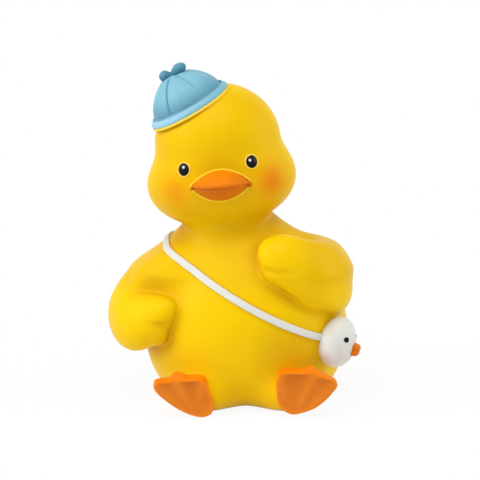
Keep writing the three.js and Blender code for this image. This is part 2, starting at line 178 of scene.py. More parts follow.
# Toes: outward of the tip, half width, rise of the top over it (mm), and the turn of its ridge
# (degrees).
TOES = {
    "right": ((12.3, 2.4, 1.3, 50), (6.0, 2.2, 1.9, 29), (-0.3, 1.8, 0.8, -3)),
    "left": ((11.5, 2.0, 0.7, 49), (5.0, 2.3, 1.3, 23), (-3.0, 1.8, 0.4, -15)),
}

# Depth of the bumps in sprayed paint (mm).
PEEL = 0.05

# Places of the lamps, the width of each, and the point that they are aimed at (m).
LAMPS = {"key": (-0.85, -0.25, 0.55), "side": (0.9, -0.05, 0.4), "top": (-0.1, -0.45, 1.0)}
LAMP_WIDTH = 0.7
LAMP_AIM = (0, 0, 0.05)
# Half the width of the floor (m), its own colour, and the white that it and the surroundings show.
FLOOR_HALF = 3.0
FLOOR_PAINT = (0.95, 0.95, 0.95, 1)
WHITE = (1, 1, 1, 1)
# Width of the camera's sensor (mm).
SENSOR_WIDTH = 36


def length(name, millimetres, description):
    """A length property, given in millimetres."""
    return bpy.props.FloatProperty(
        name=name, description=description, default=millimetres * MM, unit="LENGTH", precision=4)


def angle(name, degrees, description):
    """An angle property, given in degrees."""
    return bpy.props.FloatProperty(
        name=name, description=description, default=math.radians(degrees), unit="ROTATION")


def number(name, default, description):
    """A plain number property."""
    return bpy.props.FloatProperty(name=name, description=description, default=default)


def colour(name, rgb, description):
    """A colour property in linear light."""
    return bpy.props.FloatVectorProperty(
        name=name, description=description, default=rgb, size=3, min=0, max=1, subtype="COLOR")


def power(name, watts, description):
    """A lamp's power property, in watts."""
    return bpy.props.FloatProperty(
        name=name, description=description, default=watts, unit="POWER")


class DUCKLING_PG_body(bpy.types.PropertyGroup):
    """Sizes of the torso, the head and the limbs."""

    belly_height: length("Belly height", 20, "Floor to the widest level")
    base_half_width: length("Base half width", 17, "Half the width of the flat base")
    belly_half_width: length("Belly half width", 30, "Half the width of the belly")
    neck_half_width: length("Neck half width", 10.5, "Half the width of the neck")
    base_front: length("Base front", 15, "Middle of the torso to the front of the base")
    belly_front: length("Belly front", 28, "Middle of the torso to the front of the belly")
    neck_front: length("Neck front", 10, "Middle of the neck to its front")
    base_back: length("Base back", 19, "Middle of the torso to the back of the base")
    belly_back: length("Belly back", 27, "Middle of the torso to the back of the belly")
    neck_back: length("Neck back", 11, "Middle of the neck to its back")
    neck_lean: length("Neck lean", -5.5, "Neck to the side of the belly, minus for the right")
    neck_sink: length("Neck sink", 6, "How far the neck runs up into the head")
    fullness: number("Fullness", 1.16, "How quickly the shoulders draw in: lower is fuller")
    head_height: length("Head height", 64.5, "Floor to the widest level of the cheeks")
    head_forward: length("Head forward", 2, "Head in front of the torso's middle")
    head_aside: length("Head aside", -1.6, "Head to the side of the neck, minus for the right")
    head_tilt: angle("Head tilt", 7, "Tilt toward the right shoulder")
    cheek_half_width: length("Cheek half width", 21.8, "Half the width at the cheeks")
    cheek_half_height: length("Cheek half height", 13.5, "Half the height of the cheeks")
    cheek_front: length("Cheek front", 18, "Middle of the head to the front of the cheeks")
    cheek_back: length("Cheek back", 16, "Middle of the head to the back of the cheeks")
    skull_half_width: length("Skull half width", 18.4, "Half the width of the skull")
    skull_half_height: length("Skull half height", 17.2, "Half the height of the skull")
    skull_front: length("Skull front", 17.5, "Middle of the head to the front of the skull")
    skull_back: length("Skull back", 18, "Middle of the head to the back of the skull")
    skull_rise: length("Skull rise", 11.5, "Cheeks' widest level to the skull's")
    skull_aside: length("Skull aside", 0.25, "Skull to the left of the cheeks")
    head_blend: number("Head blend", 8, "How firmly the cheeks and the skull keep their outlines")
    neck_fillet: length("Neck fillet", 0.7, "Rounding between the head and the neck at the sides")
    chin_fillet: length("Chin fillet", 7, "Rounding between the chin and the chest")
    limb_fillet: length("Limb fillet", 9, "Rounding at the roots of the limbs")
    hand_fillet: length("Hand fillet", 1.7, "Rounding where a hand lies on the torso")
    grain: length("Grain", 0.55, "Spacing of the points of the body's surface")


class DUCKLING_PG_face(bpy.types.PropertyGroup):
    """Sizes of the eyes, the bill and the blush."""

    eye_level: length("Eye level", 6.9, "Eyes above the cheeks' widest level")
    eye_spacing: length("Eye spacing", 19.2, "From eye to eye")
    eye_shift: length("Eye shift", -0.35, "Both eyes to the left, minus for the right")
    eye_half_width: length("Eye half width", 1.78, "Half the width of an eye")
    eye_half_height: length("Eye half height", 1.9, "Half the height of an eye")
    eye_bulge: length("Eye bulge", 0.9, "How far an eye stands out")
    # An eye's white dot is a painted highlight.
    glint_radius: length("Glint radius", 0.5, "Radius at which the white dot on an eye has faded")
    bill_level: length("Bill level", 1.9, "Mouth above the cheeks' widest level")
    bill_sink: length("Bill sink", 1, "How far the middle of the bill is sunk in the face")
    bill_lift: angle("Bill lift", 9, "How far the bill points up")
    bill_yaw: angle("Bill yaw", 5, "How far the bill points to the right")
    bill_roll: angle("Bill roll", 2, "Turn of the bill against the head's tilt")
    bill_half_width: length("Bill half width", 8.45, "Half the width of the bill")
    upper_reach: length("Upper reach", 8.5, "How far the upper bill reaches forward")
    upper_rise: length("Upper rise", 4.1, "Height of the upper bill at its root")
    lower_reach: length("Lower reach", 7.3, "How far the lower bill reaches forward")
    lower_drop: length("Lower drop", 3.2, "Depth of the lower bill at its root")
    bill_lip: length("Bill lip", 1.3, "Thickness of the upper bill's edge")
    gape: length("Gape", 1.6, "From the upper bill's edge to the lower bill's")
    bead: length("Bead", 0.28, "Radius of the raised outline of an eye")
    corner_radius: length("Corner radius", 0.96, "Radius of the fold at each corner of the mouth")
    blush_spacing: length("Blush spacing", 27.8, "From cheek spot to cheek spot")
    blush_shift: length("Blush shift", 0.7, "Both cheek spots to the left of the face's middle")
    blush_level: length("Blush level", 0.5, "Cheek spots above the cheeks' widest level")
    blush_radius: length("Blush radius", 5.0, "Radius at which a cheek spot has mostly faded")


class DUCKLING_PG_hat(bpy.types.PropertyGroup):
    """Sizes of the hat and its bow."""

    crown_radius: length("Crown radius", 10.8, "Radius of the crown at its foot")
    crown_height: length("Crown height", 10.4, "Brim to the top of the crown")
    brim_width: length("Brim width", 1.75, "How far the brim stands out from the crown")
    brim_drop: length("Brim drop", 1.3, "How far the brim hangs below the crown's foot")
    brim_thickness: length("Brim thickness", 1.3, "Thickness of the brim")
    taper: number("Taper", 1.2, "1 for a round crown, more for a pointed one")
    lean: angle("Lean", 30, "Lean from upright, toward the right")
    tip: angle("Tip", 4, "How far the front of the brim is tipped down")
    place: angle("Place", 36, "From upright to where the hat sits on the skull")
    forward: length("Forward", 1.6, "How far the hat sits in front of the skull's middle")
    seat: length("Seat", 3.95, "How far the brim is pulled down below the skull")
    panels: bpy.props.IntProperty(
        name="Panels", description="Panels sewn together in the crown", default=6, min=3, max=12)
    puff: length("Puff", 0.35, "How far each panel swells between its seams")
    seam_width: length("Seam width", 0.32, "Half width of a seam's groove")
    seam_depth: length("Seam depth", 0.4, "Depth of a seam's groove")
    welt: length("Welt", 0.38, "Radius of the yellow welt under the brim")
    large_lobe: length("Large lobe", 2.8, "Half length of the bow's large lobe")
    large_radius: length("Large radius", 1.75, "Radius of the bow's large lobe")
    small_lobe: length("Small lobe", 1.9, "Half length of the bow's small lobe")
    small_radius: length("Small radius", 1.75, "Radius of the bow's small lobe")
    knot_radius: length("Knot radius", 1.2, "Radius of the bow's knot")
    bow_spread: number("Bow spread", 0.78, "Lobes' middles from the knot, in half lengths")
    bow_turn: angle("Bow turn", 15, "Turn of the bow about the hat")
    bow_lift: angle("Bow lift", 8, "Lift of the large lobe")


class DUCKLING_PG_bag(bpy.types.PropertyGroup):
    """Sizes of the bag and its strap."""

    height: length("Height", 19.5, "Floor to the middle of the bag")
    bearing: angle("Bearing", 56, "Where the bag sits round the belly")
    facing: angle("Facing", 69, "Where the bag's face looks, from straight ahead")
    lean: angle("Lean", 15, "Lean of the bag's top to the left")
    half_width: length("Half width", 6.2, "Half the width of the bag")
    half_height: length("Half height", 7.6, "Half the height of the bag")
    half_depth: length("Half depth", 5.6, "Half the depth of the bag")
    proud: length("Proud", 1.8, "How far the bag's middle stands out from the belly")
    egg: number("Egg", 0.12, "How much narrower the top is than the middle")
    beak_width: length("Beak width", 3.3, "Width of the bag's beak")
    beak_height: length("Beak height", 3.7, "Height of the bag's beak")
    beak_reach: length("Beak reach", 1.9, "How far the beak stands out")
    beak_drop: length("Beak drop", 0.55, "Beak below the middle of the bag")
    eye_radius: length("Eye radius", 0.85, "Radius of the bag's eyes")
    eye_bearing: angle("Eye bearing", 44, "Eyes to the side of the bag's face")
    eye_rise: length("Eye rise", 2.2, "Eyes above the middle of the bag")
    strap_width: length("Strap width", 2.15, "Width of the strap")
    strap_thickness: length("Strap thickness", 0.65, "How far the strap stands proud")
    shoulder_height: length("Shoulder height", 45.8, "Where the strap crosses the shoulder")
    hip_height: length("Hip height", 20, "Where the strap reaches the bag")
    chest_height: length("Chest height", 32.0, "Where the strap crosses the chest")


class DUCKLING_PG_foot(bpy.types.PropertyGroup):
    """Sizes of the feet and legs."""

    heel_spacing: length("Heel spacing", 26.5, "From heel to heel")
    front: length("Front", 30.5, "Middle of the torso to the soles")
    thickness: length("Thickness", 6, "Thickness of a foot")
    rim: length("Rim", 0.5, "Radius of the rounded edge")
    dish: length("Dish", 0.45, "How far the sole is hollowed")
    ridge: length("Ridge", 0.45, "Height of the ridges that run to the toes")
    leg_inset: length("Leg inset", 2.2, "Middle of a leg inward from its heel")
    leg_setback: length("Leg setback", 15.5, "Middle of a leg back from its sole")
    leg_level: length("Leg level", 6, "Middle of a leg above the floor")
    leg_half_width: length("Leg half width", 8.5, "Half the width of a leg")
    leg_half_length: length("Leg half length", 13, "Half the length of a leg")
    leg_half_height: length("Leg half height", 7.5, "Half the height of a leg")


class DUCKLING_PG_paint(bpy.types.PropertyGroup):
    """Colours of the paints."""

    yellow: colour("Yellow", (0.93, 0.61, 0.0008), "Body paint")
    # Painted shade on the body: in creases, under the welt, along the strap and in spots on the
    # front.
    shade_yellow: colour("Gold", (0.62, 0.32, 0.002), "Body paint where it gathers in hollows")
    blush: colour("Blush", (0.80, 0.22, 0.002), "Sprayed cheek spots")
    # Paler yellow in random specks and on the raised outlines.
    pale: colour("Pale yellow", (1.0, 0.72, 0.13), "Thin paint along edges")
    orange: colour("Orange", (0.85, 0.215, 0.001), "Bill and feet")
    # Painted shade on the bill and the feet, and the own browner orange of the bag's beak.
    brown_and_shade: colour("Rust", (0.55, 0.13, 0.006), "Orange paint in hollows")
    # A duller orange as painted shade on the soles and the lower sides of the feet.
    sole: colour("Sole", (0.78, 0.22, 0.016), "Soles of the feet")
    blue: colour("Blue", (0.165, 0.43, 0.54), "Hat")
    # Painted light on the top of the crown and on the brim, strongest on its right.
    pale_blue: colour("Pale blue", (0.30, 0.57, 0.72), "Raised edges of the hat")
    # Painted shade in the seams and low on the crown; the bow's own deep blue, with painted shade
    # in its folds.
    deep_blue: colour("Deep blue", (0.012, 0.15, 0.26), "Seams and the bow's folds")
    white: colour("White", (0.70, 0.71, 0.67), "Strap and bag")
    cream: colour("Cream", (0.74, 0.68, 0.55), "White paint along edges")
    # Painted light on the bag, low down beside the body.
    pale_white: colour("Pale white", (0.84, 0.90, 0.94), "Bag where it lies on the body")
    black: colour("Black", (0.005, 0.005, 0.006), "Eyes")
    soot: colour("Soot", (0.03, 0.028, 0.03), "Cloudy places in the black")
    # Painted highlight on each eye.
    glint: colour("Glint", (0.9, 0.9, 0.9), "White dots on the eyes")


class DUCKLING_PG_stage(bpy.types.PropertyGroup):
    """Camera and light."""

    elevation: angle("Elevation", 11, "Camera above the horizon")
    distance: length("Distance", 700, "Camera to the point that it looks at")
    aim_side: length("Aim to the side", -1.77, "Where the camera looks, to the left")
    aim_back: length("Aim back", -0.7, "Where the camera looks, toward the back")
    aim_height: length("Aim height", 46.4, "Where the camera looks, above the floor")
    lens: number("Lens", 178, "Focal length in millimetres on a 36 mm sensor")
    ambient: number("Ambient", 0.25, "Brightness of the white surroundings as light")
    key_power: power("Key power", 5.5, "Main soft light")
    side_power: power("Side power", 3.8, "Soft light on the left")
    top_power: power("Top power", 6.5, "Soft light overhead")
    floor_glow: number("Floor glow", 0.92, "Share of the floor's white that shadows leave")
    glow_near: length("Glow near", 40, "Where the floor begins to whiten, from its middle")
    glow_far: length("Glow far", 105, "Where the floor is wholly white, from its middle")


GROUPS = {
    "body": DUCKLING_PG_body,
    "face": DUCKLING_PG_face,
    "hat": DUCKLING_PG_hat,
    "bag": DUCKLING_PG_bag,
    "foot": DUCKLING_PG_foot,
    "paint": DUCKLING_PG_paint,
    "stage": DUCKLING_PG_stage,
}


def fields(group):
    """The properties that a group itself defines."""
    return [p for p in group.bl_rna.properties if p.identifier not in ("rna_type", "name")]


def measured(context):
    """Every group's values, with lengths in millimetres."""
    found = {}
    for key in GROUPS:
        group = getattr(context.scene, "duckling_" + key)
        values = {}
        for prop in fields(group):
            value = getattr(group, prop.identifier)
            if prop.type == "FLOAT" and prop.is_array:
                value = tuple(value)
            elif prop.unit == "LENGTH":
                value /= MM
            values[prop.identifier] = value
        found[key] = SimpleNamespace(**values)
    return SimpleNamespace(**found)


# Curves and surfaces


def unit(vectors):
    """The vectors at length one."""
    return vectors / np.linalg.norm(vectors, axis=-1, keepdims=True)


def smoothstep(low, high, value):
    """0 below low, 1 above high, and 3t^2 - 2t^3 between them."""
    t = np.clip((value - low) / (high - low), 0, 1)
    return t * t * (3 - 2 * t)


def square_to(vectors, tangent):
    """Unit vectors turned square to unit tangents."""
    return unit(vectors - (vectors * tangent).sum(-1, keepdims=True) * tangent)


def tangents(path):
    """Unit directions along a closed line of points."""
    return unit(np.roll(path, -1, 0) - np.roll(path, 1, 0))


def spread(values, axis=0):
    """Values averaged with both neighbours along an axis, by the weights 1, 2, 1."""
    return (np.roll(values, 1, axis) + 2 * values + np.roll(values, -1, axis)) / 4


def leaning(turn):
    """The rotation that leans an upright form toward the right by an angle."""
    c, s = math.cos(turn), math.sin(turn)
    return np.array([(c, 0, -s), (0, 1, 0), (s, 0, c)])


def turned(turn):
    """The rotation about the upright axis by an angle."""
    c, s = math.cos(turn), math.sin(turn)
    return np.array([(c, -s, 0), (s, c, 0), (0, 0, 1)])


def tipped(turn):
    """The rotation about the sideways axis by an angle."""
    c, s = math.cos(turn), math.sin(turn)
    return np.array([(1, 0, 0), (0, c, -s), (0, s, c)])


def through(stations, along, closed=False):
    """A smooth curve through stations, at shares along it from 0 to 1.

    On each gap it is a cubic whose end slopes come from the neighbouring stations, timed by
    the square roots of the gaps.
    """
    if closed:
        gaps = len(stations)
        padded = np.vstack([stations[-1:], stations, stations[:2]])
    else:
        gaps = len(stations) - 1
        before, after = 2 * stations[0] - stations[1], 2 * stations[-1] - stations[-2]
        padded = np.vstack([before, stations, after])
    place = np.clip(np.asarray(along) * gaps, 0, gaps - 1e-9)
    first = place.astype(int)
    w = (place - first)[:, None]
    p0, p1, p2, p3 = (padded[first + k] for k in range(4))
    g0, g1, g2 = (
        np.sqrt(np.maximum(np.linalg.norm((b - a)[:, :3], axis=1), 1e-6))[:, None]
        for a, b in ((p0, p1), (p1, p2), (p2, p3))
    )
    m1 = ((p1 - p0) / g0 - (p2 - p0) / (g0 + g1) + (p2 - p1) / g1) * g1
    m2 = ((p2 - p1) / g1 - (p3 - p1) / (g1 + g2) + (p3 - p2) / g2) * g1
    return (
        (2 * w**3 - 3 * w**2 + 1) * p1 + (w**3 - 2 * w**2 + w) * m1
        + (3 * w**2 - 2 * w**3) * p2 + (w**3 - w**2) * m2
    )


def circle(count):
    """Angles once round."""
    return 2 * math.pi * np.arange(count) / count


def eased(count):
    """Shares from 0 to 1, closer together at both ends and clear of them by half a step."""
    return (1 - np.cos(math.pi * (np.arange(count) + 0.5) / count)) / 2


def ball(half_sizes, rows=64, columns=96):
    """Rings of an ellipsoid: latitude t and longitude p give (cos t sin p, -cos t cos p, sin t)."""
    t = math.pi * (eased(rows) - 0.5)[:, None]
    p = circle(columns)[None, :]
    rings = np.stack(np.broadcast_arrays(
        np.cos(t) * np.sin(p), -np.cos(t) * np.cos(p), np.sin(t)), -1)
    return rings * np.asarray(half_sizes)


def neck_top(body):
    """The height at which the neck ends, inside the head."""
    return body.head_height - body.cheek_half_height + body.neck_sink


def torso_section(body, height):
    """Half width, front, back and lean of the torso at each height.

    Below the belly the size grows from the base as a quarter ellipse. Above it the belly's share
    is (1 - a^2)^fullness, where a runs from 0 at the belly to 1 at the neck, and the lean grows
    as a^3.
    """
    neck = neck_top(body)
    below = height < body.belly_height
    low = np.clip(height / body.belly_height, 0, 1)
    high = np.clip((height - body.belly_height) / (neck - body.belly_height), 0, 1)
    swell = np.where(below, np.sqrt(1 - (1 - low) ** 2), (1 - high**2) ** body.fullness)

    def between(base, belly, top):
        return np.where(below, base, top) * (1 - swell) + belly * swell

    return (
        between(body.base_half_width, body.belly_half_width, body.neck_half_width),
        between(body.base_front, body.belly_front, body.neck_front),
        between(body.base_back, body.belly_back, body.neck_back),
        body.neck_lean * high**3,
    )


def head_section(body, level):
    """Half width, front, back and lean of the head at each level above the cheeks' widest.

    Each is the rounded larger of a cheek ellipse and a skull ellipse: (c^n + s^n)^(1/n).
    """

    def ellipse(offset, half_height):
        return np.sqrt(np.maximum(1 - (offset / half_height) ** 2, 0))

    cheek = ellipse(level, body.cheek_half_height)
    skull = ellipse(level - body.skull_rise, body.skull_half_height)
    n = body.head_blend

    def larger(a, b):
        return ((a * cheek) ** n + (b * skull) ** n) ** (1 / n)

    return (
        larger(body.cheek_half_width, body.skull_half_width),
        larger(body.cheek_front, body.skull_front),
        larger(body.cheek_back, body.skull_back),
        body.skull_aside * smoothstep(0, body.skull_rise, level),
    )


def on_section(section, height, bearing, standoff=0.0):
    """Points at bearings round a section: (lean + (half + s) sin b, -(depth + s) cos b, height)."""
    half, front, back, lean = section
    ahead = np.cos(bearing)
    depth = np.where(ahead > 0, front, back)
    return np.stack(np.broadcast_arrays(
        lean + (half + standoff) * np.sin(bearing), -(depth + standoff) * ahead, height), -1)


def on_torso(body, height, bearing, standoff=0.0):
    """Points on the torso at heights and bearings."""
    height = np.asarray(height, float)
    return on_section(torso_section(body, height), height, np.asarray(bearing), standoff)


def on_head(body, level, bearing, standoff=0.0):
    """Points on the head, in its own frame, at levels and bearings."""
    level = np.asarray(level, float)
    return on_section(head_section(body, level), level, np.asarray(bearing), standoff)


def head_frame(body):
    """The head's rotation and its place."""
    return leaning(body.head_tilt), np.array(
        (body.neck_lean + body.head_aside, -body.head_forward, body.head_height))


def hat_frame(body, hat):
    """The hat's rotation and the middle of its brim, which is sunk below the top of the skull."""
    head_turn, head_place = head_frame(body)
    tilt = hat.place - body.head_tilt
    top = np.array((-math.sin(tilt), 0, math.cos(tilt)))
    reach = 1 / math.hypot(top[0] / body.skull_half_width, top[2] / body.skull_half_height)
    middle = top * (reach - hat.seat) + (0, -hat.forward, body.skull_rise)
    return leaning(hat.lean) @ tipped(hat.tip), head_turn @ middle + head_place


def torso_rings(body, rows_below=60, rows_above=90, columns=160):
    """The torso: bearings round it by heights up it."""
    low = body.belly_height * (1 - np.cos(np.linspace(0, math.pi / 2, rows_below)))
    high = np.linspace(body.belly_height, neck_top(body), rows_above)[1:]
    height = np.concatenate([low, high])[:, None]
    return on_torso(body, height, circle(columns)[None, :])


def head_rings(body, rows=140, columns=160):
    """The head: bearings round it by levels up it, in the figure's frame."""
    bottom, top = -body.cheek_half_height, body.skull_rise + body.skull_half_height
    level = (bottom + (top - bottom) * eased(rows))[:, None]
    turn, place = head_frame(body)
    return on_head(body, level, circle(columns)[None, :]) @ turn.T + place


def wing_rings(body, stations, root, tip, lean, rows=110, columns=90):
    """A wing: flattened sections along a curve over the torso, rounded off at both ends.

    At angle a round a section the point is middle + out * depth * cos a + across * width * sin a,
    where out leans as a share of the torso's slope.
    """
    height, bearing, standoff = stations[:, 0], np.radians(stations[:, 1]), stations[:, 2]
    places = on_torso(body, height, bearing, standoff)
    along = eased(rows)
    line = through(np.hstack([places, stations[:, 3:]]), along)
    middle, half = line[:, :3], line[:, 3:]
    tangent = unit(np.gradient(middle, axis=0))
    level = middle[:, 2]
    out = unit(middle * (1, 1, 0))
    out[:, 2] = lean * (torso_section(body, level - 1)[0] - torso_section(body, level + 1)[0]) / 2
    out = square_to(out, tangent)
    across = np.cross(tangent, out)
    past = np.maximum(np.maximum((root - along) / root, (along - tip) / (1 - tip)), 0)
    half = half * np.sqrt(1 - past**2)[:, None]
    a = circle(columns)[None, :, None]
    return (
        middle[:, None]
        + out[:, None] * half[:, None, 1:] * np.cos(a)
        + across[:, None] * half[:, None, :1] * np.sin(a)
    )


def finger_rings(body, height, bearing, standoff, half_length, radius, slant):
    """A finger: an ellipsoid laid along the torso and slanted."""
    bearing = math.radians(bearing)
    turn = turned(bearing) @ leaning(math.radians(slant))
    return ball((half_length, radius, radius)) @ turn.T + on_torso(body, height, bearing, standoff)


def inside_out(points, faces):
    """Whether faces turn inwards: the volume that their first three corners bound is below zero."""
    a, b, c = (points[faces[:, k]] for k in range(3))
    return (a * np.cross(b, c)).sum() < 0


def shell(rings):
    """Points, four-sided faces and end fans of a surface of closed rings, facing outwards.

    The middles of the two end fans come last among the points.
    """
    rows, columns = rings.shape[:2]
    points = np.vstack([rings.reshape(-1, 3), rings[0].mean(0), rings[-1].mean(0)])
    here = np.arange(rows * columns).reshape(rows, columns)
    ahead = np.roll(here, -1, axis=1)
    quads = np.stack([here[:-1], ahead[:-1], ahead[1:], here[1:]], -1).reshape(-1, 4)
    low, high = rows * columns, rows * columns + 1
    fans = np.concatenate([
        np.stack([np.full(columns, low), ahead[0], here[0]], -1),
        np.stack([np.full(columns, high), here[-1], ahead[-1]], -1),
    ])
    if inside_out(points, np.concatenate([quads[:, :3], quads[:, (0, 2, 3)], fans])):
        quads, fans = quads[:, ::-1], fans[:, ::-1]
    return points, quads, fans


def loop(rings):
    """Points and four-sided faces of a surface closed both round its rings and along them."""
    rows, columns = rings.shape[:2]
    points = rings.reshape(-1, 3)
    here = np.arange(rows * columns).reshape(rows, columns)
    ahead = np.roll(here, -1, 1)
    quads = np.stack([here, ahead, np.roll(ahead, -1, 0), np.roll(here, -1, 0)], -1).reshape(-1, 4)
    return points, quads[:, ::-1] if inside_out(points, quads) else quads


# Body clay


def nearer(a, b, reach):
    """The smaller of two distances, less h^2 reach / 4 where they differ by less than reach."""
    h = np.clip(1 - np.abs(a - b) / np.maximum(reach, 1e-6), 0, None)
    return np.minimum(a, b) - h * h * reach / 4


class Clay:
    """A block of signed distances in millimetres, below zero inside the figure."""

    def __init__(self, low, high, voxel, band):
        self.voxel, self.band = voxel, band
        self.bed = None
        self.first = np.floor(low / voxel).astype(int) - band
        count = np.ceil(high / voxel).astype(int) + band - self.first
        self.values = np.full(count, band * voxel, np.float32)
        self.transform = openvdb.createLinearTransform(voxelSize=voxel)
        axes = [(first + np.arange(n)) * voxel for first, n in zip(self.first, count)]
        self.x, self.y, self.z = np.meshgrid(*axes, indexing="ij", sparse=True)

    def distances(self, rings):
        """Distances from a surface of closed rings."""
        points, quads, fans = shell(rings)
        level_set = openvdb.FloatGrid.createLevelSetFromPolygons(
            points.astype(np.float32), triangles=np.ascontiguousarray(fans, np.uint32),
            quads=np.ascontiguousarray(quads, np.uint32), transform=self.transform,
            halfWidth=float(self.band))
        values = np.empty(self.values.shape, np.float32)
        level_set.copyToArray(values, ijk=tuple(int(i) for i in self.first))
        return values

    def join(self, rings, reach):
        """Adds a form, with a fillet where it meets what is there."""
        self.values = nearer(self.values, self.distances(rings), reach).astype(np.float32)

    def window(self, low, high):
        """The block's slices between two corners, and the grids of x, y and z in them."""
        first = np.clip((low / self.voxel).astype(int) - self.first, 0, None)
        last = (high / self.voxel).astype(int) + 2 - self.first
        i, j, k = (slice(a, b) for a, b in zip(first, last))
        return (i, j, k), (self.x[i], self.y[:, j], self.z[:, :, k])

    def press(self, path, width, first, last):
        """Sinks a groove along a line of points: the distance grows by depth * exp(-(r / width)^2).

        The depth goes evenly from its first value to its last along the line.
        """
        margin = 3 * width
        window, grids = self.window(path.min(0) - margin, path.max(0) + margin)
        spots = np.stack(np.broadcast_arrays(*grids), -1)
        nearest = np.full(spots.shape[:3], np.inf)
        depth = np.full(spots.shape[:3], first)
        count = len(path) - 1
        for k, (a, b) in enumerate(zip(path[:-1], path[1:])):
            t = np.clip((spots - a) @ (b - a) / ((b - a) @ (b - a)), 0, 1)
            away = np.linalg.norm(spots - a - t[..., None] * (b - a), axis=-1)
            depth = np.where(away < nearest, first + (last - first) * (k + t) / count, depth)
            nearest = np.minimum(nearest, away)
        self.values[window] += depth * np.exp(-((nearest / width) ** 2))

    def stand(self, reach):
        """Cuts the figure flat at the floor, with a rounded edge."""
        self.values = -nearer(-self.values, np.broadcast_to(self.z, self.values.shape), reach)

    def blur(self):
        """Evens all the distances once along each axis."""
        for axis in range(3):
            self.values = spread(self.values, axis)

    def ease(self, middle, radius, passes):
        """Evens the distances along each axis again and again, only near a point."""
        middle = np.array(middle, float)
        window, grids = self.window(middle - radius, middle + radius)
        away = np.sqrt(sum((grid - m) ** 2 for grid, m in zip(grids, middle)))
        share = 1 - smoothstep(radius / 2, radius - 1, away)
        values = self.values[window]
        for k in range(3 * passes):
            values = values + share * (spread(values, k % 3) - values)
        self.values[window] = values

    def sample(self, points, values=None):
        """Distances at any points, in proportion between the eight nearest of the block."""
        values = self.values if values is None else values
        place = points / self.voxel - self.first
        place = np.clip(place, 0, np.array(values.shape) - 1.001)
        i = place.astype(int)
        w = place - i
        total = 0
        for corner in np.ndindex(2, 2, 2):
            share = np.abs(1 - np.array(corner) - w).prod(-1)
            total = total + share * values[tuple(np.moveaxis(i + corner, -1, 0))]
        return total

    def outward(self, points, values=None):
        """Unit directions away from the surface at any points."""
        step = np.eye(3) * self.voxel
        return unit(np.stack(
            [self.sample(points + s, values) - self.sample(points - s, values) for s in step], -1))

    def onto(self, points):
        """Points drawn onto the surface along its outward directions."""
        return points - self.sample(points)[..., None] * self.outward(points)

    def front(self, spots):
        """Points of the surface straight behind (x, height) spots, seen from the front."""
        spots = np.asarray(spots, float)
        y = np.arange(self.y.min(), 0, self.voxel / 4)
        lines = np.stack(np.broadcast_arrays(spots[:, :1], y[None, :], spots[:, 1:]), -1)
        inside = self.sample(lines) < 0
        return lines[np.arange(len(spots)), inside.argmax(1)]

    def skin(self, passes=3):
        """Points and four-sided faces of the surface, evened out and drawn back onto it."""
        grid = openvdb.FloatGrid()
        grid.background = float(self.band * self.voxel)
        grid.transform = self.transform
        grid.copyFromArray(
            np.ascontiguousarray(self.values, np.float32), ijk=tuple(int(i) for i in self.first))
        points, quads = grid.convertToQuads(isovalue=0.0)
        points = points.astype(float)
        ends = np.concatenate([quads[:, (k, (k + 1) % 4)] for k in range(4)])
        here, there = np.concatenate([ends, ends[:, ::-1]]).T
        count = np.bincount(here, minlength=len(points))[:, None]
        for _ in range(passes):
            mean = np.stack(
                [np.bincount(here, points[there, k], len(points)) for k in range(3)], -1) / count
            points = self.onto((points + mean) / 2)
        return points, quads[:, ::-1] if inside_out(points, quads) else quads


CLAY = {}


def sculpt(size):
    """The body's clay: torso, legs, tail, wings and head joined with fillets, and pressed lines.

    A copy of its distances taken before the left wing is the bed that the strap lies on.
    """
    body, foot = size.body, size.foot
    low, high = (np.array(corner) / MM for corner in cad_box)
    clay = Clay(low, high, body.grain, BAND)

    def join_lump(half_sizes, height, bearing, standoff, lean, tip, fillet):
        """Joins an ellipsoid to the torso, tipped and then leaned."""
        turn = leaning(math.radians(lean)) @ tipped(math.radians(tip))
        place = on_torso(body, height, math.radians(bearing), standoff)
        clay.join(ball(half_sizes) @ turn.T + place, fillet)

    def wing_fillet(share):
        """Goes from the fillet of a hand to the fillet of a limb's root."""
        return body.hand_fillet + (body.limb_fillet - body.hand_fillet) * share

    clay.join(torso_rings(body), 0)
    leg = ball((foot.leg_half_width, foot.leg_half_length, foot.leg_half_height))
    for side in (-1, 1):
        aside = side * (foot.heel_spacing / 2 - foot.leg_inset)
        clay.join(leg + (aside, foot.leg_setback - foot.front, foot.leg_level), LEG_FILLET)
    join_lump(*TAIL)
    join_lump(*ELBOW)
    root = smoothstep(*RIGHT_ROOT_HEIGHT, clay.z)
    clay.join(wing_rings(body, RIGHT_WING, *WING_ENDS["right"]), wing_fillet(root))
    half_sizes, place, fillet = CROOK
    clay.join(ball(half_sizes) + place, fillet)
    clay.bed = clay.values.copy()
    join_lump(*SHOULDER)
    root = smoothstep(*LEFT_ROOT_SIDE, clay.x) * smoothstep(*LEFT_ROOT_HEIGHT, clay.z)
    clay.join(wing_rings(body, LEFT_WING, *WING_ENDS["left"]), wing_fillet(root))
    for finger in FINGERS:
        clay.join(finger_rings(body, *finger), body.hand_fillet)
    chin = smoothstep(*CHIN_FRONT, -clay.y)
    clay.join(head_rings(body), body.neck_fillet + (body.chin_fillet - body.neck_fillet) * chin)
    clay.blur()
    for spot in EASED:
        clay.ease(*spot)
    for path, width, first, last in PRESSED:
        clay.press(clay.front(path), width, first, last)
    clay.stand(FLOOR_ROUND)
    return clay


def clay_of(size):
    """The body's clay, made again only when a size that it follows has changed."""
    key = repr((size.body, size.foot))
    if key not in CLAY:
        CLAY.clear()
        CLAY[key] = sculpt(size)
    return CLAY[key]


def lathe(profile, columns):
    """Rings of a profile of (radius, height) carried round the upright axis."""
    a = circle(columns)[None, :]
    radius, height = profile[:, :1], profile[:, 1:]
    return np.stack(np.broadcast_arrays(radius * np.sin(a), -radius * np.cos(a), height), -1)


# Paints


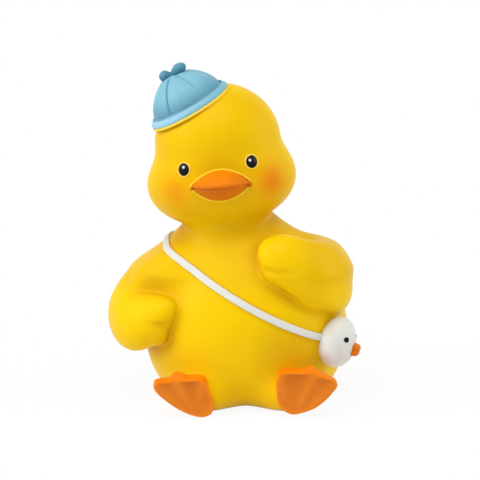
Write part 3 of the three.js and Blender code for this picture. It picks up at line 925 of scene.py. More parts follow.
class Value:
    """A shader socket that takes part in Python arithmetic: each operation adds a Math node."""

    def __init__(self, paint, socket):
        self.paint, self.socket = paint, socket

    def combined(self, operation, first, second):
        """The result of a Math node."""
        return self.paint.node("ShaderNodeMath", {"operation": operation}, {0: first, 1: second})

    def __add__(self, other):
        return self.combined("ADD", self, other)

    def __sub__(self, other):
        return self.combined("SUBTRACT", self, other)

    def __rsub__(self, other):
        return self.combined("SUBTRACT", other, self)

    def __mul__(self, other):
        return self.combined("MULTIPLY", self, other)

    __radd__ = __add__
    __rmul__ = __mul__

    def clamped(self):
        """The value kept between 0 and 1."""
        return self.paint.node("ShaderNodeClamp", {}, {0: self})


class Paint:
    """A material under construction."""

    def __init__(self, name, tree=None):
        if tree is None:
            old = bpy.data.materials.get(name)
            if old:
                bpy.data.materials.remove(old)
            self.material = bpy.data.materials.new(name)
            self.material.use_nodes = True
            tree = self.material.node_tree
        self.tree = tree
        self.tree.nodes.clear()

    def node(self, kind, settings=None, sockets=None, output=0):
        """Adds a node: its settings first, then the values or links of its sockets."""
        made = self.tree.nodes.new(kind)
        for key, value in (settings or {}).items():
            setattr(made, key, value)
        for key, value in (sockets or {}).items():
            socket = made.inputs[key]
            if isinstance(value, Value):
                self.tree.links.new(value.socket, socket)
            else:
                socket.default_value = value
        return Value(self, made.outputs[output]) if made.outputs else made

    def attribute(self, name):
        """A number stored on the points of the piece."""
        return self.node("ShaderNodeAttribute", {"attribute_name": name}, output="Fac")

    def patchy(self, name, noise):
        """A number stored on the points, broken up by noise and kept between 0 and 1."""
        return (self.attribute(name) + noise).clamped()

    def noise(self, scale, detail=2.0, roughness=0.5):
        """Noise over the piece, with scale in waves for each metre, about 0.5 on average."""
        place = self.node("ShaderNodeTexCoord", output="Object")
        return self.node("ShaderNodeTexNoise", {}, {
            "Vector": place, "Scale": scale, "Detail": detail, "Roughness": roughness})

    def sprayed(self, cloud, speck, peel):
        """Noise of sprayed paint at three scales: clouds and specks about 0, and its peel."""
        return self.noise(cloud, 3.0) - 0.5, self.noise(speck, 2.0, 0.7) - 0.5, self.noise(peel)

    def blend(self, share, first, second):
        """A colour that goes from the first to the second as share goes from 0 to 1."""
        def four(c):
            return c if isinstance(c, Value) else (*c, 1.0)
        return self.node(
            "ShaderNodeMix", {"data_type": "RGBA", "clamp_factor": True},
            {0: share, 6: four(first), 7: four(second)}, output=2)

    def finish(self, base, roughness, height, bump, specular):
        """Ends the material in one coat of paint, with its bumps in millimetres."""
        normal = self.node("ShaderNodeBump", {}, {
            "Strength": 1.0, "Distance": bump * MM, "Height": height})
        coat = self.node("ShaderNodeBsdfPrincipled", {}, {
            "Base Color": base, "Roughness": roughness, "Metallic": 0.0,
            "Specular IOR Level": specular, "Normal": normal})
        self.node("ShaderNodeOutputMaterial", {}, {"Surface": coat})
        return self.material


def yellow_paint(paint):
    """Sprayed satin yellow: painted shade in creases and on the front, orange cheeks, pale
    outlines.
    """
    p = Paint("yellow_paint")
    cloud, speck, peel = p.sprayed(cloud=55.0, speck=2600.0, peel=420.0)
    base = p.blend(p.patchy("hollow", cloud * 0.16), paint.yellow, paint.shade_yellow)
    base = p.blend(p.attribute("edge") * 0.8, base, paint.pale)
    base = p.blend((p.attribute("blush") * (speck * 0.28 + 1)).clamped(), base, paint.blush)
    base = p.blend(speck * 0.1 + cloud * 0.08, base, paint.pale)
    return p.finish(
        base, roughness=0.38 + cloud * 0.12 + speck * 0.1, height=peel + speck * 0.25, bump=PEEL,
        specular=0.06)


def orange_paint(paint, name, main):
    """Brushed satin orange with painted shade; on the feet the duller sole colour is painted shade
    too.
    """
    p = Paint(name)
    cloud, speck, peel = p.sprayed(cloud=160.0, speck=2300.0, peel=500.0)
    base = p.blend(p.patchy("hollow", cloud * 0.3), main, paint.brown_and_shade)
    base = p.blend(p.patchy("edge", cloud * 0.3), base, paint.orange)
    base = p.blend(speck * 0.12, base, paint.pale)
    return p.finish(
        base, roughness=0.40 + cloud * 0.16 + speck * 0.1, height=peel + speck * 0.3, bump=PEEL,
        specular=0.1)


def blue_paint(paint):
    """Satin light blue: painted shade in seams and low down, painted light on the crown top and
    brim.
    """
    p = Paint("blue_paint")
    cloud, speck, peel = p.sprayed(cloud=140.0, speck=2200.0, peel=480.0)
    base = p.blend(p.patchy("edge", cloud * 0.5), paint.blue, paint.pale_blue)
    base = p.blend(p.patchy("hollow", cloud * 0.1), base, paint.deep_blue)
    base = p.blend(speck * 0.2 + 0.03, base, paint.white)
    return p.finish(
        base, roughness=0.46 + cloud * 0.14 + speck * 0.1, height=peel + speck * 0.3, bump=PEEL,
        specular=0.25)


def white_paint(paint):
    """Satin warm white, creamier along edges, and paler and cooler as painted light low on the bag.
    """
    p = Paint("white_paint")
    cloud, speck, peel = p.sprayed(cloud=150.0, speck=2400.0, peel=500.0)
    base = p.blend(p.patchy("edge", cloud * 0.25), paint.white, paint.cream)
    base = p.blend(speck * 0.14, base, paint.cream)
    base = p.blend(p.attribute("wash"), base, paint.pale_white)
    return p.finish(
        base, roughness=0.42 + cloud * 0.14, height=peel + speck * 0.3, bump=PEEL, specular=0.25)


def black_paint(paint):
    """Glossy black with a painted highlight dot."""
    p = Paint("black_paint")
    cloud, glint = p.noise(900.0), p.attribute("glint")
    base = p.blend((cloud - 0.5) * 0.3, paint.black, paint.soot)
    base = p.blend(glint, base, paint.glint)
    return p.finish(
        base, roughness=0.13 + (cloud - 0.5) * 0.08 + glint * 0.3, height=cloud, bump=0.01,
        specular=0.12)


# Pieces


def add_object(name, data):
    """A new object in the scene, in place of one left under its name by an earlier run."""
    old = bpy.data.objects.get(name)
    if old:
        bpy.data.objects.remove(old)
    made = bpy.data.objects.new(name, data)
    bpy.context.scene.collection.objects.link(made)
    return made


def make_piece(name, parts, material, slot, **stored):
    """A mesh of one or more closed surfaces, given in millimetres, that stands for the casting.

    Each number in stored, or list of numbers for its points, becomes an attribute.
    """
    points, faces, start = [], [], 0
    for part_points, *part_faces in parts:
        points.append(part_points)
        for some in part_faces:
            faces.extend((some + start).tolist())
        start += len(part_points)
    mesh = bpy.data.meshes.new(name)
    mesh.from_pydata((np.vstack(points) * MM).tolist(), [], faces)
    mesh.shade_smooth()
    for key, values in stored.items():
        layer = mesh.attributes.new(key, "FLOAT", "POINT")
        values = np.broadcast_to(values, len(mesh.vertices))
        layer.data.foreach_set("value", values.astype(np.float32))
    mesh.materials.append(material)
    piece = add_object(name, mesh)
    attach(piece, BODY)
    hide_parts(CASTING)


def occlusion_shade(clay, points, out):
    """Painted shade: how closed in each point is, the share of room missing along its outward line.
    """
    shut = 0.0
    for reach, weight in ROOM:
        room = clay.sample(points + out * reach)
        shut = shut + weight * np.clip(1 - room / reach, 0, 1)
    return np.clip(shut, 0, 1)


def blushes(size, points):
    """Sprayed cheek spots: strength * exp(-(d / radius)^2) about each spot."""
    body, face = size.body, size.face
    turn, place = head_frame(body)
    spray = 0.0
    for side, strength in BLUSHES:
        x = side * face.blush_spacing / 2 + face.blush_shift
        bearing = math.asin(x / body.cheek_half_width)
        spot = on_head(body, face.blush_level, bearing) @ turn.T + place
        away = np.linalg.norm(points - spot, axis=1) / face.blush_radius
        spray = np.maximum(spray, strength * np.exp(-(away**2)))
    return spray


def spot_shade(points):
    """Painted shade sprayed thinly on the front: exp(-(x / a)^2 - (z / b)^2) about each spot."""
    front = smoothstep(0, 4, -points[:, 1])
    spray = 0.0
    for x, up, wide, high, strength in SHADE_SPOTS:
        near = np.exp(-(((points[:, 0] - x) / wide) ** 2) - ((points[:, 2] - up) / high) ** 2)
        spray = np.maximum(spray, strength * near * front)
    return spray


def bead(clay, path, radius, columns=16):
    """A thin round bead along a closed line laid on the clay."""
    path = clay.onto(path)
    tangent = tangents(path)
    out = square_to(clay.outward(path), tangent)
    side = np.cross(tangent, out)
    a = circle(columns)[None, :, None]
    return loop(path[:, None] + radius * (side[:, None] * np.cos(a) + out[:, None] * np.sin(a)))


def face_beads(size):
    """The raised yellow outlines of the eyes and the bill, a little outside their edges."""
    face = size.face
    clay = clay_of(size)
    gap, bill_share, passes = 0.1, 1.2, 4
    beads = []
    t = circle(120)[:, None]
    for side in (-1, 1):
        seat, axes = eye_frame(size, side)
        half_width, half_height = face.eye_half_width + gap, face.eye_half_height + gap
        line = np.hstack([half_width * np.cos(t), 0 * t, half_height * np.sin(t)])
        beads.append(bead(clay, line @ axes.T + seat, face.bead))
    turn, place = bill_frame(size)
    t = circle(240)[:, None]
    across = np.cos(t)
    rest = 1 - np.abs(across) ** BILL_DOME
    rise = face.upper_rise * rest**UPPER_FULLNESS + gap
    drop = face.gape * bowed(across) + face.lower_drop * rest**LOWER_FULLNESS + gap
    line = np.hstack([face.bill_half_width * across, 0 * t, np.where(np.sin(t) > 0, rise, -drop)])
    line = line @ turn.T + place
    for _ in range(passes):
        line = spread(line)
    beads.append(bead(clay, clay.front(line[:, (0, 2)]), bill_share * face.bead))
    return beads


def welt_surface(size):
    """The welt under the hat: a circle of radius welt carried round inside the brim's edge."""
    hat = size.hat
    inside, below = 0.15, 0.75
    a, b = circle(28)[None, :], circle(200)[:, None]
    radius = hat.crown_radius + hat.brim_width - inside + hat.welt * np.cos(a)
    rings = np.stack(np.broadcast_arrays(
        radius * np.sin(b), -radius * np.cos(b), hat.welt * np.sin(a) - below), -1)
    turn, place = hat_frame(size.body, hat)
    return loop(rings @ turn.T + place)


def welt_shade(size, points):
    """Painted shadow under the welt: strength * exp(-(d / width)^2) about a circle below the brim.
    """
    hat = size.hat
    outside, below, width, strength = 0.35, 1.35, 0.55, 0.9
    turn, place = hat_frame(size.body, hat)
    local = (points - place) @ turn
    beside = np.hypot(local[:, 0], local[:, 1]) - hat.crown_radius - hat.brim_width - outside
    return strength * np.exp(-((np.hypot(beside, local[:, 2] + below) / width) ** 2))


def strap_shade(size, points):
    """Painted shadow along the strap: strength * exp(-(d / width)^2) about both of its edges."""
    half = size.bag.strap_width / 2
    upper, lower, width, reach, beside = 0.8, 0.4, 0.4, 2.2, 3
    path, normal = strap_path(size)
    across = (points - path[0]) @ normal
    near = np.flatnonzero(np.abs(across) < beside)
    across = across[near]
    away = np.min([np.linalg.norm(points[near] - spot, axis=1) for spot in path[::3]], axis=0)
    shade = np.zeros(len(points))
    shade[near] = (away < reach) * (
        upper * np.exp(-(((across - half) / width) ** 2))
        + lower * np.exp(-(((across + half) / width) ** 2)))
    return shade


class DUCKLING_OT_body(bpy.types.Operator):
    """Build the yellow body as one skin, with the hat's welt and the outlines on the face."""

    bl_idname = "duckling.body"
    bl_label = "Body"

    def execute(self, context):
        size = measured(context)
        clay = clay_of(size)
        points, quads = clay.skin()
        # Painted shade: in creases, under the welt, along the strap and in spots on the front.
        hollow = np.max([
            occlusion_shade(clay, points, clay.outward(points)), welt_shade(size, points),
            strap_shade(size, points), spot_shade(points)], axis=0)
        raised = [welt_surface(size), *face_beads(size)]
        counts = [len(part[0]) for part in raised]
        none = np.zeros(sum(counts))
        make_piece(
            "duck_body", [(points, quads), *raised], yellow_paint(size.paint), "yellow_paint",
            hollow=np.append(hollow, none), blush=np.append(blushes(size, points), none),
            edge=np.append(0 * hollow, np.repeat(RAISED_EDGES, counts)))
        return {"FINISHED"}


def eye_frame(size, side):
    """An eye's place on the face, and its axes: across, into the face, and up along the head."""
    body, face = size.body, size.face
    clay = clay_of(size)
    turn, place = head_frame(body)
    x = side * face.eye_spacing / 2 + face.eye_shift
    half = head_section(body, np.array(face.eye_level))[0]
    seat = clay.onto(on_head(body, face.eye_level, math.asin(x / half)) @ turn.T + place)
    out = clay.outward(seat)
    up = square_to(turn @ np.array((0, 0, 1.0)), out)
    return seat, np.stack([np.cross(-out, up), -out, up], 1)


def eye_surface(size, side):
    """One eye: a dome of half sizes (width, bulge, height) on the face, with a painted highlight.
    """
    face = size.face
    core = 0.4
    seat, axes = eye_frame(size, side)
    half = np.array((face.eye_half_width, face.eye_bulge, face.eye_half_height))
    points, quads, fans = shell(ball(half, 48, 64))
    x, _, up = half * GLINTS[side]
    away = np.hypot(points[:, 0] - x, points[:, 2] - up) / face.glint_radius
    glint = (1 - smoothstep(core, 1.0, away)) * (points[:, 1] < 0)
    return (points @ axes.T + seat, quads, fans), glint


class DUCKLING_OT_eyes(bpy.types.Operator):
    """Build the two glossy eyes."""

    bl_idname = "duckling.eyes"
    bl_label = "Eyes"

    def execute(self, context):
        size = measured(context)
        material = black_paint(size.paint)
        for name, side in (("eye_right", -1), ("eye_left", 1)):
            surface, glint = eye_surface(size, side)
            make_piece(name, [surface], material, "black_paint", glint=glint)
        return {"FINISHED"}


def bill_half(half_width, reach, rise, lip, fullness, up, columns=160):
    """One half of the bill from its domed side over its lip to its mouth side, with two shares.

    Over the plan (w r sin p, -reach r cos p) the domed side stands rise * (1 - r^dome)^fullness
    high. The lip goes the other way by lip * t, thinner at the corners, with
    r = 1 - bulge (2 t - 1)^2, and the mouth side closes it. The shares are how far across each
    point lies, from -1 to 1, and whether it belongs to the lip or the mouth.
    """
    bulge, least = 0.06, 0.03
    p = circle(columns)[None, :]
    r = np.sin(np.linspace(least, math.pi / 2, 56))[:, None]
    t = np.linspace(0, 1, 14)[1:, None]
    flat = np.linspace(1, least, 24)[1:, None]
    radius = np.concatenate([r * (1 - bulge), 1 - bulge * (2 * t - 1) ** 2, flat * (1 - bulge)])
    dome = np.concatenate([rise * (1 - r**BILL_DOME) ** fullness, 0 * t, 0 * flat])
    depth = np.concatenate([0 * r, -lip * t, np.full_like(flat, -lip)])
    lips = np.concatenate([np.zeros_like(r), np.ones_like(t), np.ones_like(flat)])
    across = radius * np.sin(p)
    rings = np.stack(np.broadcast_arrays(
        half_width * across, -reach * radius * np.cos(p), up * (dome + depth * bowed(across))), -1)
    return rings, across, lips


def bowed(across):
    """How far the mouth's line hangs at a share across: 1 in the middle, 0.35 at a corner."""
    return 1 - 0.65 * across**2


def bill_frame(size):
    """The bill's rotation and the middle of its mouth."""
    body, face = size.body, size.face
    head_turn, head_place = head_frame(body)
    turn = head_turn @ leaning(-face.bill_roll) @ turned(-face.bill_yaw) @ tipped(-face.bill_lift)
    return turn, head_turn @ on_head(body, face.bill_level, 0.0, -face.bill_sink) + head_place


class DUCKLING_OT_bill(bpy.types.Operator):
    """Build the two halves of the bill."""

    bl_idname = "duckling.bill"
    bl_label = "Bill"

    def execute(self, context):
        size = measured(context)
        material = orange_paint(size.paint, "orange_paint", size.paint.orange)
        turn, place = bill_frame(size)
        self.upper(size.face, material, turn, place)
        self.lower(size.face, material, turn, place)
        return {"FINISHED"}

    def upper(self, face, material, turn, place):
        """The upper half, shaded on its lip, at its corners and toward the left."""
        # Painted shade on the lip band, in the mouth's corners and on the bill's left side, away
        # from the light.
        lip, corner, left = 0.45, 0.6, 0.5
        rings, across, lips = bill_half(
            face.bill_half_width, face.upper_reach, face.upper_rise, face.bill_lip,
            UPPER_FULLNESS, 1)
        shade = np.maximum(lip * lips, corner * smoothstep(0.75, 1.0, np.abs(across)))
        shade = np.maximum(shade, left * smoothstep(0.1, 0.9, across))
        make_piece(
            "bill_upper", [shell(rings @ turn.T + place)], material, "orange_paint",
            hollow=np.append(shade.ravel(), (0, 0.5)), edge=0)

    def lower(self, face, material, turn, place):
        """The lower half, under painted shade, and the fold at each corner of the mouth."""
        # Painted shade over the whole lower half, deeper at its corners, deepest on its lip and on
        # the folds.
        main, corner, mouth = 0.72, 0.2, 0.95
        inset, lip = 0.2, 0.4
        fold_sizes = np.array((0.9, 1.2, 1.0)) * face.corner_radius
        fold_inset, fold_back, fold_level = 0.3, 0.2, 0.45
        rings, across, lips = bill_half(
            face.bill_half_width - inset, face.lower_reach, face.lower_drop, lip,
            LOWER_FULLNESS, -1)
        rings[..., 2] -= face.gape * bowed(across)
        shade = np.maximum(main + corner * smoothstep(0.7, 1.0, np.abs(across)), mouth * lips)
        parts = [shell(rings @ turn.T + place)]
        shades = [shade.ravel(), (0.3, 0.9)]
        for side in (-1, 1):
            fold = ball(fold_sizes, 28, 36) + (
                side * (face.bill_half_width - fold_inset), fold_back, -fold_level * face.gape)
            parts.append(shell(fold @ turn.T + place))
            shades.append(np.full(len(parts[-1][0]), mouth))
        make_piece(
            "bill_lower", parts, material, "orange_paint", hollow=np.concatenate(shades), edge=0)


def crown_profile(hat):
    """The hat's profile of (radius, height) from under the brim up, and where the crown begins.

    The brim is a smooth curve round its edge. The crown's radius is R cos(t)^taper and its height
    H sin(t)^taper above its foot.
    """
    start, stop, clear = 0.09, math.pi / 2 - 0.02, 0.1
    brim = hat.crown_radius + hat.brim_width
    edge = hat.brim_thickness / 2
    # Out under the brim, round its edge, and in over it to the crown's foot.
    curve = np.array([
        (hat.crown_radius - 0.6, -edge - 0.4, 0),
        (brim - 0.9, -edge - 0.1, 0),
        (brim - 0.2, -edge * 0.7, 0),
        (brim, 0.05, 0),
        (brim - 0.22, edge, 0),
        (brim - 1.1, edge + 0.75, 0),
        (hat.crown_radius + 0.45, hat.brim_drop - 0.45, 0),
        (hat.crown_radius, hat.brim_drop + 0.5, 0),
    ])
    brim_line = through(curve, np.linspace(0, 1, 72))[:, :2]
    t = np.linspace(start, stop, 90)
    crown = np.stack([
        hat.crown_radius * np.cos(t) ** hat.taper,
        hat.brim_drop + (hat.crown_height - hat.brim_drop) * np.sin(t) ** hat.taper], -1)
    keep = crown[:, 1] > brim_line[-1, 1] + clear
    return np.vstack([brim_line, crown[keep]]), len(brim_line)


def hat_surface(hat, columns=360):
    """The hat's rings, its shade and its light.

    The profile is carried round the hat's axis. Each panel swells by puff * sin^2 between grooves
    of seam_depth * exp(-(d / seam_width)^2). The shade lies in the grooves and low on the crown,
    the light on the crown's top and on the right of the brim.
    """
    groove_shade, low_shade, top_light, brim_dim = 0.8, 0.5, 0.25, 0.9
    profile, foot = crown_profile(hat)
    a = circle(columns)[None, :]
    step = 2 * math.pi / hat.panels
    off = a % step - step / 2
    firm = np.resize(SEAMS, hat.panels)[np.floor(a / step).astype(int) % hat.panels]
    radius, height = profile[:, :1], profile[:, 1:]
    share = (height - hat.brim_drop) / (hat.crown_height - hat.brim_drop)
    fade = smoothstep(-0.05, 0.12, share) * (1 - smoothstep(0.93, 1.0, share))
    groove = firm * np.exp(-((off * radius / hat.seam_width) ** 2)) * fade
    swell = hat.puff * np.sin(math.pi * off / step) ** 2 * fade - hat.seam_depth * groove
    slope = np.gradient(profile, axis=0)
    out = unit(np.stack([slope[:, 1], -slope[:, 0]], -1))
    ahead = np.stack([np.sin(a), -np.cos(a), np.zeros_like(a)], -1)
    up = np.array((0, 0, 1.0))
    outward = out[:, :1, None] * ahead + out[:, None, 1:] * up
    rings = lathe(profile, columns) + swell[..., None] * outward
    low = (1 - smoothstep(0.0, 0.6, share)) * smoothstep(0, 0.05, share)
    shade = np.maximum(groove_shade * groove, low_shade * low)
    crown_light = top_light * smoothstep(0.35, 0.95, share)
    brim_light = 1 - brim_dim * smoothstep(-0.9, 0.7, np.sin(a))
    on_crown = (np.arange(len(profile)) >= foot)[:, None]
    return rings, shade, np.where(on_crown, crown_light, brim_light)


class DUCKLING_OT_hat(bpy.types.Operator):
    """Build the hat and the bow on its top."""

    bl_idname = "duckling.hat"
    bl_label = "Hat"

    def execute(self, context):
        size = measured(context)
        hat = size.hat
        material = blue_paint(size.paint)
        turn, place = hat_frame(size.body, hat)
        rings, shade, light = hat_surface(hat)
        # Painted shade in the seams and low on the crown, painted light on its top and on the brim.
        make_piece(
            "hat", [shell(rings @ turn.T + place)], material, "blue_paint",
            hollow=np.append(shade.ravel(), (0, 0)), edge=np.append(light.ravel(), (0, 0)))
        self.bow(hat, material, turn, place)
        return {"FINISHED"}

    def bow(self, hat, material, turn, place):
        """Two lobes and a knot: a lobe is an ellipsoid pinched toward the knot, with a fold."""
        pinch, fold_width, fold_depth, rise, sink = 0.35, 0.45, 0.45, 0.4, 0.2
        # The bow's own deep blue, lighter toward each lobe's top as painted light and darker below
        # and in the fold as painted shade.
        main, top, folded = 0.8, 0.25, 0.2
        spin = turned(-hat.bow_turn)
        base = np.array((0, 0, hat.crown_height - sink * hat.knot_radius))
        parts, shades = [], []
        lobes = (
            (hat.large_lobe, hat.large_radius, 1.12 * hat.bow_spread, hat.bow_lift),
            (hat.small_lobe, hat.small_radius, -1.2 * hat.bow_spread, 0),
        )
        for half, radius, side, lift in lobes:
            rings = ball((half, radius, radius), 56, 72)
            toward = -np.sign(side) * rings[..., 0] / half
            rings[..., 1:] *= (1 - pinch * smoothstep(0.0, 1.0, toward))[..., None]
            fold = np.exp(-((rings[..., 1] / fold_width) ** 2)) * (rings[..., 2] > 0)
            fold = fold * smoothstep(-0.3, 0.9, toward)
            rings[..., 2] -= fold_depth * fold
            shade = main - top * rings[..., 2] / radius + folded * fold
            rings = rings @ leaning(lift).T + (side * half, 0, rise * radius)
            parts.append(shell((rings @ spin.T + base) @ turn.T + place))
            shades.append(np.append(shade.ravel(), (main, main)))
        knot = ball((hat.knot_radius, hat.knot_radius, hat.knot_radius), 32, 40)
        parts.append(shell((knot @ spin.T + base) @ turn.T + place))
        shades.append(np.ones(len(parts[-1][0])))
        make_piece(
            "hat_bow", parts, material, "blue_paint", hollow=np.concatenate(shades), edge=0)


def strap_path(size, columns=420):
    """The strap's middle line on the clay, and the upward normal of its plane.

    The plane goes through a point of the shoulder, one of the chest and one beside the bag, and
    the line is found along rays in it, as the last place inside the clay.
    """
    body, bag = size.body, size.bag
    clay = clay_of(size)
    back, near, far, step, passes = 2.0, 4, 60, 0.15, 6
    a = on_torso(body, bag.shoulder_height, -math.pi / 2)
    b = on_torso(body, bag.chest_height, 0.0)
    c = on_torso(body, bag.hip_height, bag.bearing)
    normal = unit(np.cross(b - a, c - a))
    normal = normal * np.sign(normal[2])
    middle = np.array((0, back, 0))
    middle[2] = a[2] - ((middle - a)[:2] @ normal[:2]) / normal[2]
    first = unit(np.cross(normal, (0, 1.0, 0)))
    second = np.cross(normal, first)
    turn = circle(columns)[:, None]
    rays = first * np.cos(turn) + second * np.sin(turn)
    reach = np.arange(near, far, step)
    spots = middle + rays[:, None] * reach[None, :, None]
    inside = clay.sample(spots, clay.bed) < 0
    last = len(reach) - 1 - inside[:, ::-1].argmax(1)
    radius = reach[last] + step / 2
    for _ in range(passes):
        radius = spread(radius)
    return middle + rays * radius[:, None], normal


def strap_surface(size, columns=40):
    """The strap: a rounded band carried along its line, and how near each point is to an edge.

    At angle a round its section the point is line + side * w |cos a|^0.4
    + out * t (0.3 + 0.7 |sin a|^0.6), with the signs of cos a and sin a.
    """
    bag = size.bag
    clay = clay_of(size)
    passes, sharpness = 8, 6
    path, _ = strap_path(size)
    tangent = tangents(path)
    out = clay.outward(path, clay.bed)
    for _ in range(passes):
        out = unit(out + np.roll(out, 1, 0) + np.roll(out, -1, 0))
    out = square_to(out, tangent)
    side = np.cross(tangent, out)
    a = circle(columns)[None, :, None]
    c, s = np.cos(a), np.sin(a)
    wide = bag.strap_width / 2 * np.sign(c) * np.abs(c) ** 0.4
    high = bag.strap_thickness * (0.3 + 0.7 * np.sign(s) * np.abs(s) ** 0.6)
    rings = path[:, None] + side[:, None] * wide + out[:, None] * high
    edge = np.broadcast_to(np.abs(c[..., 0]) ** sharpness, rings.shape[:2]).ravel()
    return loop(rings), edge


class DUCKLING_OT_strap(bpy.types.Operator):
    """Build the strap that crosses the chest."""

    bl_idname = "duckling.strap"
    bl_label = "Strap"

    def execute(self, context):
        size = measured(context)
        surface, edge = strap_surface(size)
        make_piece(
            "strap", [surface], white_paint(size.paint), "white_paint", edge=edge / 2, wash=0)
        return {"FINISHED"}


class DUCKLING_OT_bag(bpy.types.Operator):
    """Build the bag with its beak and eyes."""

    bl_idname = "duckling.bag"
    bl_label = "Bag"

    def execute(self, context):
        size = measured(context)
        bag = size.bag
        turn = leaning(-bag.lean) @ turned(bag.facing)
        place = on_torso(size.body, bag.height, bag.bearing, bag.proud)
        self.pouch(size, turn, place)
        self.beak(size, turn, place)
        self.eyes(size, turn, place)
        return {"FINISHED"}

    def pouch(self, size, turn, place):
        """The bag: an ellipsoid narrowed toward its top, with painted light low down beside the
        body.
        """
        bag = size.bag
        white = bpy.data.materials.get("white_paint") or white_paint(size.paint)
        rings = ball((bag.half_width, bag.half_depth, bag.half_height), 90, 120)
        rings[..., :2] *= (1 - bag.egg * rings[..., 2] / bag.half_height)[..., None]
        rings = rings @ turn.T
        inward, down = -rings[..., 0] / bag.half_depth, -rings[..., 2] / bag.half_height
        # Painted light, paler and cooler, on the bag's lower side toward the body.
        wash = smoothstep(-0.05, 0.6, 0.75 * inward + 0.55 * down)
        make_piece(
            "bag", [shell(rings + place)], white, "white_paint",
            edge=0, wash=np.append(wash.ravel(), (wash[0, 0], wash[-1, 0])))

    def beak(self, size, turn, place):
        """The beak: a ball whose coordinates are raised to a power, drawn in along its mouth."""
        bag = size.bag
        squareness, line_width, line_depth, sunk = 0.6, 0.3, 0.1, 0.97
        # The beak's own browner orange, with painted shade along its mouth line.
        main, dark = 0.45, 0.4
        orange = orange_paint(size.paint, "beak_paint", size.paint.orange)
        block = ball((1, 1, 1), 48, 56)
        block = np.sign(block) * np.abs(block) ** squareness
        block = block * (bag.beak_width / 2, bag.beak_reach, bag.beak_height / 2)
        line = np.exp(-((block[..., 2] / line_width) ** 2)) * (block[..., 1] < 0.5)
        block = block * (1 - line_depth * line)[..., None]
        block = block + (0, -sunk * bag.half_depth, -bag.beak_drop)
        make_piece(
            "bag_beak", [shell(block @ turn.T + place)], orange, "orange_paint",
            hollow=np.append(main + dark * line.ravel(), (main, main)), edge=0)

    def eyes(self, size, turn, place):
        """The two eyes: flat ellipsoids on the bag, to both sides of its face."""
        bag = size.bag
        black = bpy.data.materials.get("black_paint") or black_paint(size.paint)
        level = bag.eye_rise / bag.half_height
        shrink = math.sqrt(1 - level**2) * (1 - bag.egg * level)
        parts = []
        for side in (-1, 1):
            x = side * bag.half_width * math.sin(bag.eye_bearing) * shrink
            y = -bag.half_depth * math.cos(bag.eye_bearing) * shrink
            dot = ball((bag.eye_radius, bag.eye_radius / 2, bag.eye_radius), 28, 36)
            dot = dot @ turned(side * bag.eye_bearing).T + (x, y, bag.eye_rise)
            parts.append(shell(dot @ turn.T + place))
        make_piece("bag_eyes", parts, black, "black_paint", glint=0)


def foot_surface(foot, sole, toes, side, columns=260):
    """One foot, from the middle of its sole out over the rim and back along its sides.

    Rings are the sole's outline drawn in toward its middle. The sole is hollowed by
    dish * (1 - r^5) and ridged by bells of angle about a point under the heel, toward each toe.
    Behind the rim the top swells over each toe and the underside draws in.
    """
    tuck, ridge_angle, heel_below = 1.8, 8.0, 2.0
    # Painted shade on the sole, more toward its top under the rim and near its outline, less on the
    # ridges, which is painted light; the rim and upper sides keep the full orange, the lower sides
    # less.
    sole_shade, toe_shade, rim_shade, ridge_light, low_edge = 0.25, 0.4, 0.35, 0.8, 0.3
    stations = np.stack([sole[:, 0], np.zeros(len(sole)), sole[:, 1]], -1)
    outline = through(stations, np.arange(columns) / columns, closed=True)
    middle = outline.mean(0)
    spoke = outline - middle
    size = np.linalg.norm(spoke, axis=1)[None, :]
    upper = smoothstep(0.1, 0.6, spoke[:, 2] / size)
    r = np.linspace(0.03, 1, 48)[:, None]
    bend = np.linspace(0, math.pi / 2, 14)[1:, None]
    back = np.linspace(0, 1, 18)[1:, None]
    swell = sum(
        rise * np.exp(-(((outline[:, 0] - out) / half) ** 2)) for out, half, rise, _ in toes)
    swell = swell * upper * np.sin(math.pi * back**0.7)
    scale = np.concatenate([
        r * (1 - foot.rim / size),
        1 - foot.rim * (1 - np.sin(bend)) / size,
        1 + (swell - tuck * (1 - upper) * back**2.5) / size,
    ])
    y = np.concatenate([
        np.full_like(r, -foot.thickness),
        -foot.thickness + foot.rim * (1 - np.cos(bend)),
        (foot.rim - foot.thickness) * (1 - back),
    ])
    flat = np.arange(len(y))[:, None] < len(r)
    r = np.concatenate([r, np.ones((len(y) - len(r), 1))])
    rings = middle + spoke[None] * scale[..., None]
    about = np.degrees(np.arctan2(rings[..., 0], rings[..., 2] + heel_below))
    far = np.hypot(rings[..., 0], rings[..., 2])
    ridges = sum(np.exp(-(((about - toe) / ridge_angle) ** 2)) for *_, toe in toes)
    ridges = ridges * smoothstep(2, 8, far)
    relief = flat * (foot.dish * (1 - r**5) - foot.ridge * ridges * (1 - r**8))
    rings[..., 1] = y + relief
    high = smoothstep(0.3, 0.95, rings[..., 2] / outline[:, 2].max())
    hollow = sole_shade + toe_shade * high + rim_shade * r**4
    hollow = flat * (1 - r**12) * hollow * (1 - ridge_light * ridges)
    edge = (low_edge + (1 - low_edge) * upper) * (1 - flat * (1 - r**30))
    rings[..., 0] *= side
    return rings, hollow, edge


class DUCKLING_OT_feet(bpy.types.Operator):
    """Build the two feet."""

    bl_idname = "duckling.feet"
    bl_label = "Feet"

    def execute(self, context):
        size = measured(context)
        foot = size.foot
        # The soles' duller orange is painted shade.
        material = orange_paint(size.paint, "foot_paint", size.paint.sole)
        for name, side in (("right", -1), ("left", 1)):
            rings, hollow, edge = foot_surface(foot, SOLES[name], TOES[name], side)
            rings[..., 2] = np.maximum(rings[..., 2], 0)
            place = (side * foot.heel_spacing / 2, foot.thickness - foot.front, 0)
            make_piece(
                "foot_" + name, [shell(rings + place)], material, "orange_paint",
                hollow=np.append(hollow.ravel(), (0.5, 0)), edge=np.append(edge.ravel(), (0, 1)))
        return {"FINISHED"}


